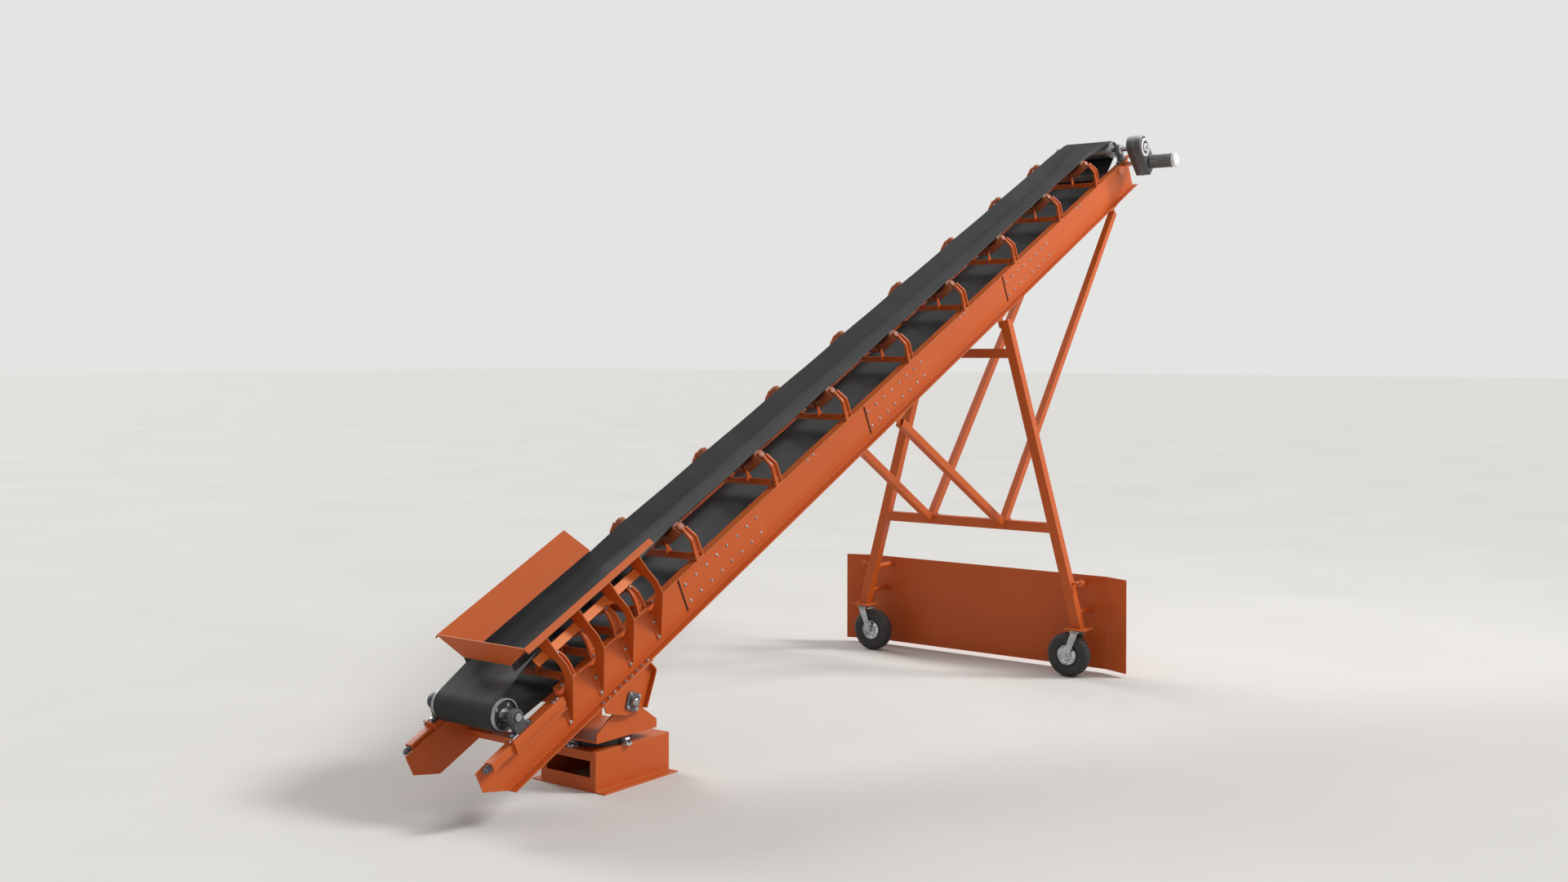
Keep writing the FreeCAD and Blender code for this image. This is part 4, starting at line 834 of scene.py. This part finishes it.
# The cowl is painted near white as a highlight of the light on it.
cowl = turned([(0, 85), (36, 85), (44, 79), (47, 62), (47, 34), (43, 32), (43, 4)],
              (0, -CASE_OUT - MOTOR_LENGTH, MOTOR_DROP), RIGHT, 48)
piece("motor_cowl", on_drive([cowl]), "boom", highlight_white_steel)
torque_bolts = bolts([(HEAD_U + a, -WEB_HALF - 10, 490) for a in (-62, 42)], RIGHT, 12)
torque_bolts += bolts([(HEAD_U + a, -480, 600) for a in (-50, 30)], UP, 12)
piece("drive_bracket_bolts", on_boom(torque_bolts), "boom", zinc, edge=0)


# Hopper: sloping plate walls with a bent lip, closed at the tail, held by C-shaped gussets of 8 mm plate.
# Each gusset has a flange bolted to the rail's web and a tab on its top, and flat bars beside the belt run
# through them all.
HOPPER_TAIL, HOPPER_SHEET = -866, 8
WALL_LINE = [(246, 953), (470, 1131), (510, 1094)]
GUSSETS = [-632 + 375 * k for k in range(4)]
coat(orange, "hopper_wall_left", "hopper_wall_right", "hopper_end", "hopper_gussets_left",
     "hopper_gussets_right")
# The bars and the drive's bracket get a lighter, shinier orange: the lighter tone is a painted highlight of
# how they catch the light.
lit_orange = enamel("painted_highlight_orange_enamel", "F0863F", "E67C38", ORANGE_EDGE, 0.05, 0.36)
coat(lit_orange, "edge_bars", "drive_bracket")
coat(belt_skin, "hopper_skirts")
tabs, gusset_bolts, tab_bolts = [], [], []
for u in GUSSETS:
    tab = rounded(rectangle(u - 34, 388, u, TOE_HALF + 12), 8)
    tabs.append(slab(tab, RAIL_TOP, RAIL_TOP + 7, PLAN))
    tabs.append(block((u - 40, WEB_HALF, 523), (u, WEB_HALF + 6, 534)))
    gusset_bolts += [(u - 21, WEB_HALF + 6, v) for v in (295, 442)]
    tab_bolts.append((u - 15, 440, RAIL_TOP + 7))
piece("gusset_tabs", on_boom(mirrored(tabs)), "boom", orange)
gusset_heads = bolts(gusset_bolts, LEFT, 13) + bolts(tab_bolts, UP, 12)
piece("gusset_bolts", on_boom(mirrored(gusset_heads)), "boom", zinc, edge=0)
end_flange = slab(strip(WALL_LINE, 0, HOPPER_SHEET), HOPPER_TAIL - HOPPER_SHEET, HOPPER_TAIL, SECTION)
piece("hopper_corner_tabs", on_boom(mirrored([end_flange])), "boom", orange, edge=1)


# Undercarriage: A-frame of square tube, braced to the rails, standing on two foot plates.
# Bolted pads take the braces; everything is painted with the rails.
LEG_X, LEG_FOOT_HALF, LEG_FOOT_HEIGHT = 5897, 1357, 521
BEAM_TOP, BRACE_HALF = 1613, 460
coat(orange, "leg_left", "leg_right", "lower_beam", "upper_beam", "brace_head_left", "brace_head_right",
     "brace_tail_left", "brace_tail_right")
pads = [block((LEG_X - 30, BRACE_HALF - 58, BEAM_TOP), (LEG_X + 78, BRACE_HALF + 58, BEAM_TOP + 8)),
        block((LEG_X - 59, BRACE_HALF - 56, BEAM_TOP - 92), (LEG_X - 51, BRACE_HALF + 56, BEAM_TOP - 6))]
piece("brace_pads", mirrored(pads), "boom", orange)
pad_bolts = bolts([(LEG_X + 56, BRACE_HALF + a, BEAM_TOP + 8) for a in (-46, 46)], UP, 12)
piece("pad_bolts", mirrored(pad_bolts), "boom", zinc, edge=0)
foot_bolts = [(LEG_X + a * 92, LEG_FOOT_HALF + b * 92, LEG_FOOT_HEIGHT) for a in (-1, 1) for b in (-1, 1)]
foot_heads = mirrored(bolts(foot_bolts, UP, 14))
piece("foot_bolts", foot_heads, "boom", orange, edge=0)


# Guard plate: 8 mm plate with swept-back ends beside the casters, on pipe arms from the legs.
# Each arm ends in a welded collar, beside the leg, which leans in by LEG_LEAN of its height.
ARM_HEIGHTS, COLLAR_X = (670, 950), 6265
LEG_LEAN = (LEG_FOOT_HALF - 478) / 3000
coat(orange, "guard_plate", "guard_wing_left", "guard_wing_right", "guard_arms")
collars = [turned([(0, 44), (10, 44), (12, 42), (12, 30)],
                  (COLLAR_X, LEG_FOOT_HALF - (z - LEG_FOOT_HEIGHT) * LEG_LEAN, z), BACK, 28)
           for z in ARM_HEIGHTS]
piece("arm_collars", mirrored(collars), "boom", orange, edge=0)


# Casters: zinc plated forks with pressed cheeks, dished wheels and pneumatic tyres of size 5.70-8.
# The wheels are polished steel, and the tyres black rubber with a ribbed block tread.
WHEEL_Y, TYRE_RADIUS, TYRE_HALF = 1247, 231, 72.5
TREAD_DEPTH, TREAD_BLOCKS = 7, 36
CHEEK_LINE = [(1310, 486), (1388, 486), (1372, 430), (1276, 214), (1254, 203), (1228, 214), (1224, 244)]
CHEEK_RIB = [(1328, 470), (1366, 470), (1356, 430), (1262, 250), (1246, 258)]
CHEEK_IN, CHEEK_OUT, CROWN_LOW, CROWN_TOP = 80, 90, 477, 495
# Tyre rubber is near black and matt, mottled by dust in patches of 70 mm, with a grain of 2 mm.
tyre_rubber, tree, shader, place = blank("tyre_rubber")
mottle = add(tree, "TexNoise", {"Vector": place}, {"Scale": 14.0, "Detail": 6.0})
tone = add(tree, "Mix", {0: mottle.outputs["Fac"]}, {6: linear("1C1C1D"), 7: linear("3A3836")},
           data_type="RGBA")
tree.links.new(tone.outputs[2], shader.inputs["Base Color"])
shader.inputs["Roughness"].default_value = 0.72
grain = add(tree, "TexNoise", {"Vector": place}, {"Scale": 500.0})
skin = add(tree, "Bump", {"Height": grain.outputs["Fac"]}, {"Strength": 0.3, "Distance": 0.0005})
tree.links.new(skin.outputs[0], shader.inputs["Normal"])


def tyre(centre):
    """Tyre turned about X: its section is a rounded loop, and grooves lower the tread in a pattern of angle
    and width, two rings and a slanting cut between blocks."""
    half = [(112, 50), (130, 66), (175, TYRE_HALF), (206, 66), (TYRE_RADIUS, 44)]
    section = rounded(half + [(r, -x) for r, x in half[::-1]], 14, 5)
    a = (np.arange(8 * TREAD_BLOCKS) * math.tau / (8 * TREAD_BLOCKS))[:, None]
    r, x = section[:, 0][None], section[:, 1][None]
    cut = (a * TREAD_BLOCKS / math.tau + abs(x) * 0.02) % 1 < 0.24
    ring = abs(abs(x) - 17) < 4
    r = r - TREAD_DEPTH * np.clip((r - 200) / 26, 0, 1) * (ring | cut)
    rings = np.stack([np.broadcast_to(x, r.shape), r * np.cos(a), r * np.sin(a)], -1)
    return swept(rings + np.asarray(centre, float), True)


# Polished wheel steel mirrors the pale floor and studio.
polished = steel("polished_wheel_steel", "E2E4E6", "B4B6B9", 0.2, 1.0, 6.0, 0.05)
DISH = [(-46, 30), (-46, 44), (-30, 50), (-24, 60), (-20, 84), (-34, 100), (-52, 104), (-58, 110), (-58, 117),
        (-50, 117), (-44, 111), (44, 111), (50, 117), (58, 117), (58, 110), (52, 104), (20, 100), (0, 96),
        (-6, 84), (-6, 34)]
HUB = [(-70, 16), (-70, 30), (-66, 34), (66, 34), (70, 30), (70, 16)]
for name, side in (("left", 1), ("right", -1)):
    centre = np.array([LEG_X, side * WHEEL_Y, TYRE_RADIUS])
    wheel_body, fork_body = "wheel_" + name, "caster_" + name
    piece("tyre_tread_" + name, [tyre(centre)], wheel_body, tyre_rubber,
          ("tyre_" + name,), edge=0)
    wheel = [turned(DISH, centre, AHEAD, 48), turned(DISH, centre, BACK, 48),
             turned(HUB, centre, AHEAD, 32)]
    piece("wheel_dish_" + name, wheel, wheel_body, polished, ("rim_" + name,), edge=0)
    spots = [(s, t) for s in (-1, 1) for t in np.arange(5) * math.tau / 5]
    studs = [centre + np.array([s * 20, 72 * math.cos(t), 72 * math.sin(t)]) for s, t in spots]
    wheel_nuts = bolts(studs, [(s, 0, 0) for s, t in spots], 8)
    piece("wheel_nuts_" + name, wheel_nuts, wheel_body, zinc, edge=0)
    axle_ends = [centre + np.array([s * CHEEK_OUT, 0, 0]) for s in (-1, 1)]
    axle_nuts = bolts(axle_ends, [BACK, AHEAD], 15)
    pivot = (LEG_X, side * LEG_FOOT_HALF, CROWN_TOP)
    race = turned([(0, 62), (6, 66), (12, 66), (13.5, 60)], pivot, UP, 40)
    piece("caster_race_" + name, axle_nuts + [race], fork_body, zinc, edge=0)
    cheek = slab(rounded([(side * y, z) for y, z in CHEEK_LINE], 12), CHEEK_IN, CHEEK_OUT, SECTION)
    rib = slab(rounded([(side * y, z) for y, z in CHEEK_RIB], 8), CHEEK_OUT, CHEEK_OUT + 4, SECTION)
    cheeks = [(v + np.array([LEG_X, 0, 0]), q) for v, q in mirrored([cheek, rib], (-1, 1, 1))]
    crown_low, crown_high = sorted((side * 1297, side * 1397))
    crown = block((LEG_X - 90, crown_low, CROWN_LOW), (LEG_X + 90, crown_high, CROWN_TOP))
    neck = turned([(0, 52), (13.4, 52), (13.4, 20)], pivot, UP, 40)
    axle = turned([(0, 12), (2, 14), (210, 14), (212, 12)], centre - np.array([106, 0, 0]), AHEAD, 24)
    piece("caster_fork_piece_" + name, cheeks + [crown, neck, axle], fork_body, zinc,
          ("caster_fork_" + name,), edge=1)
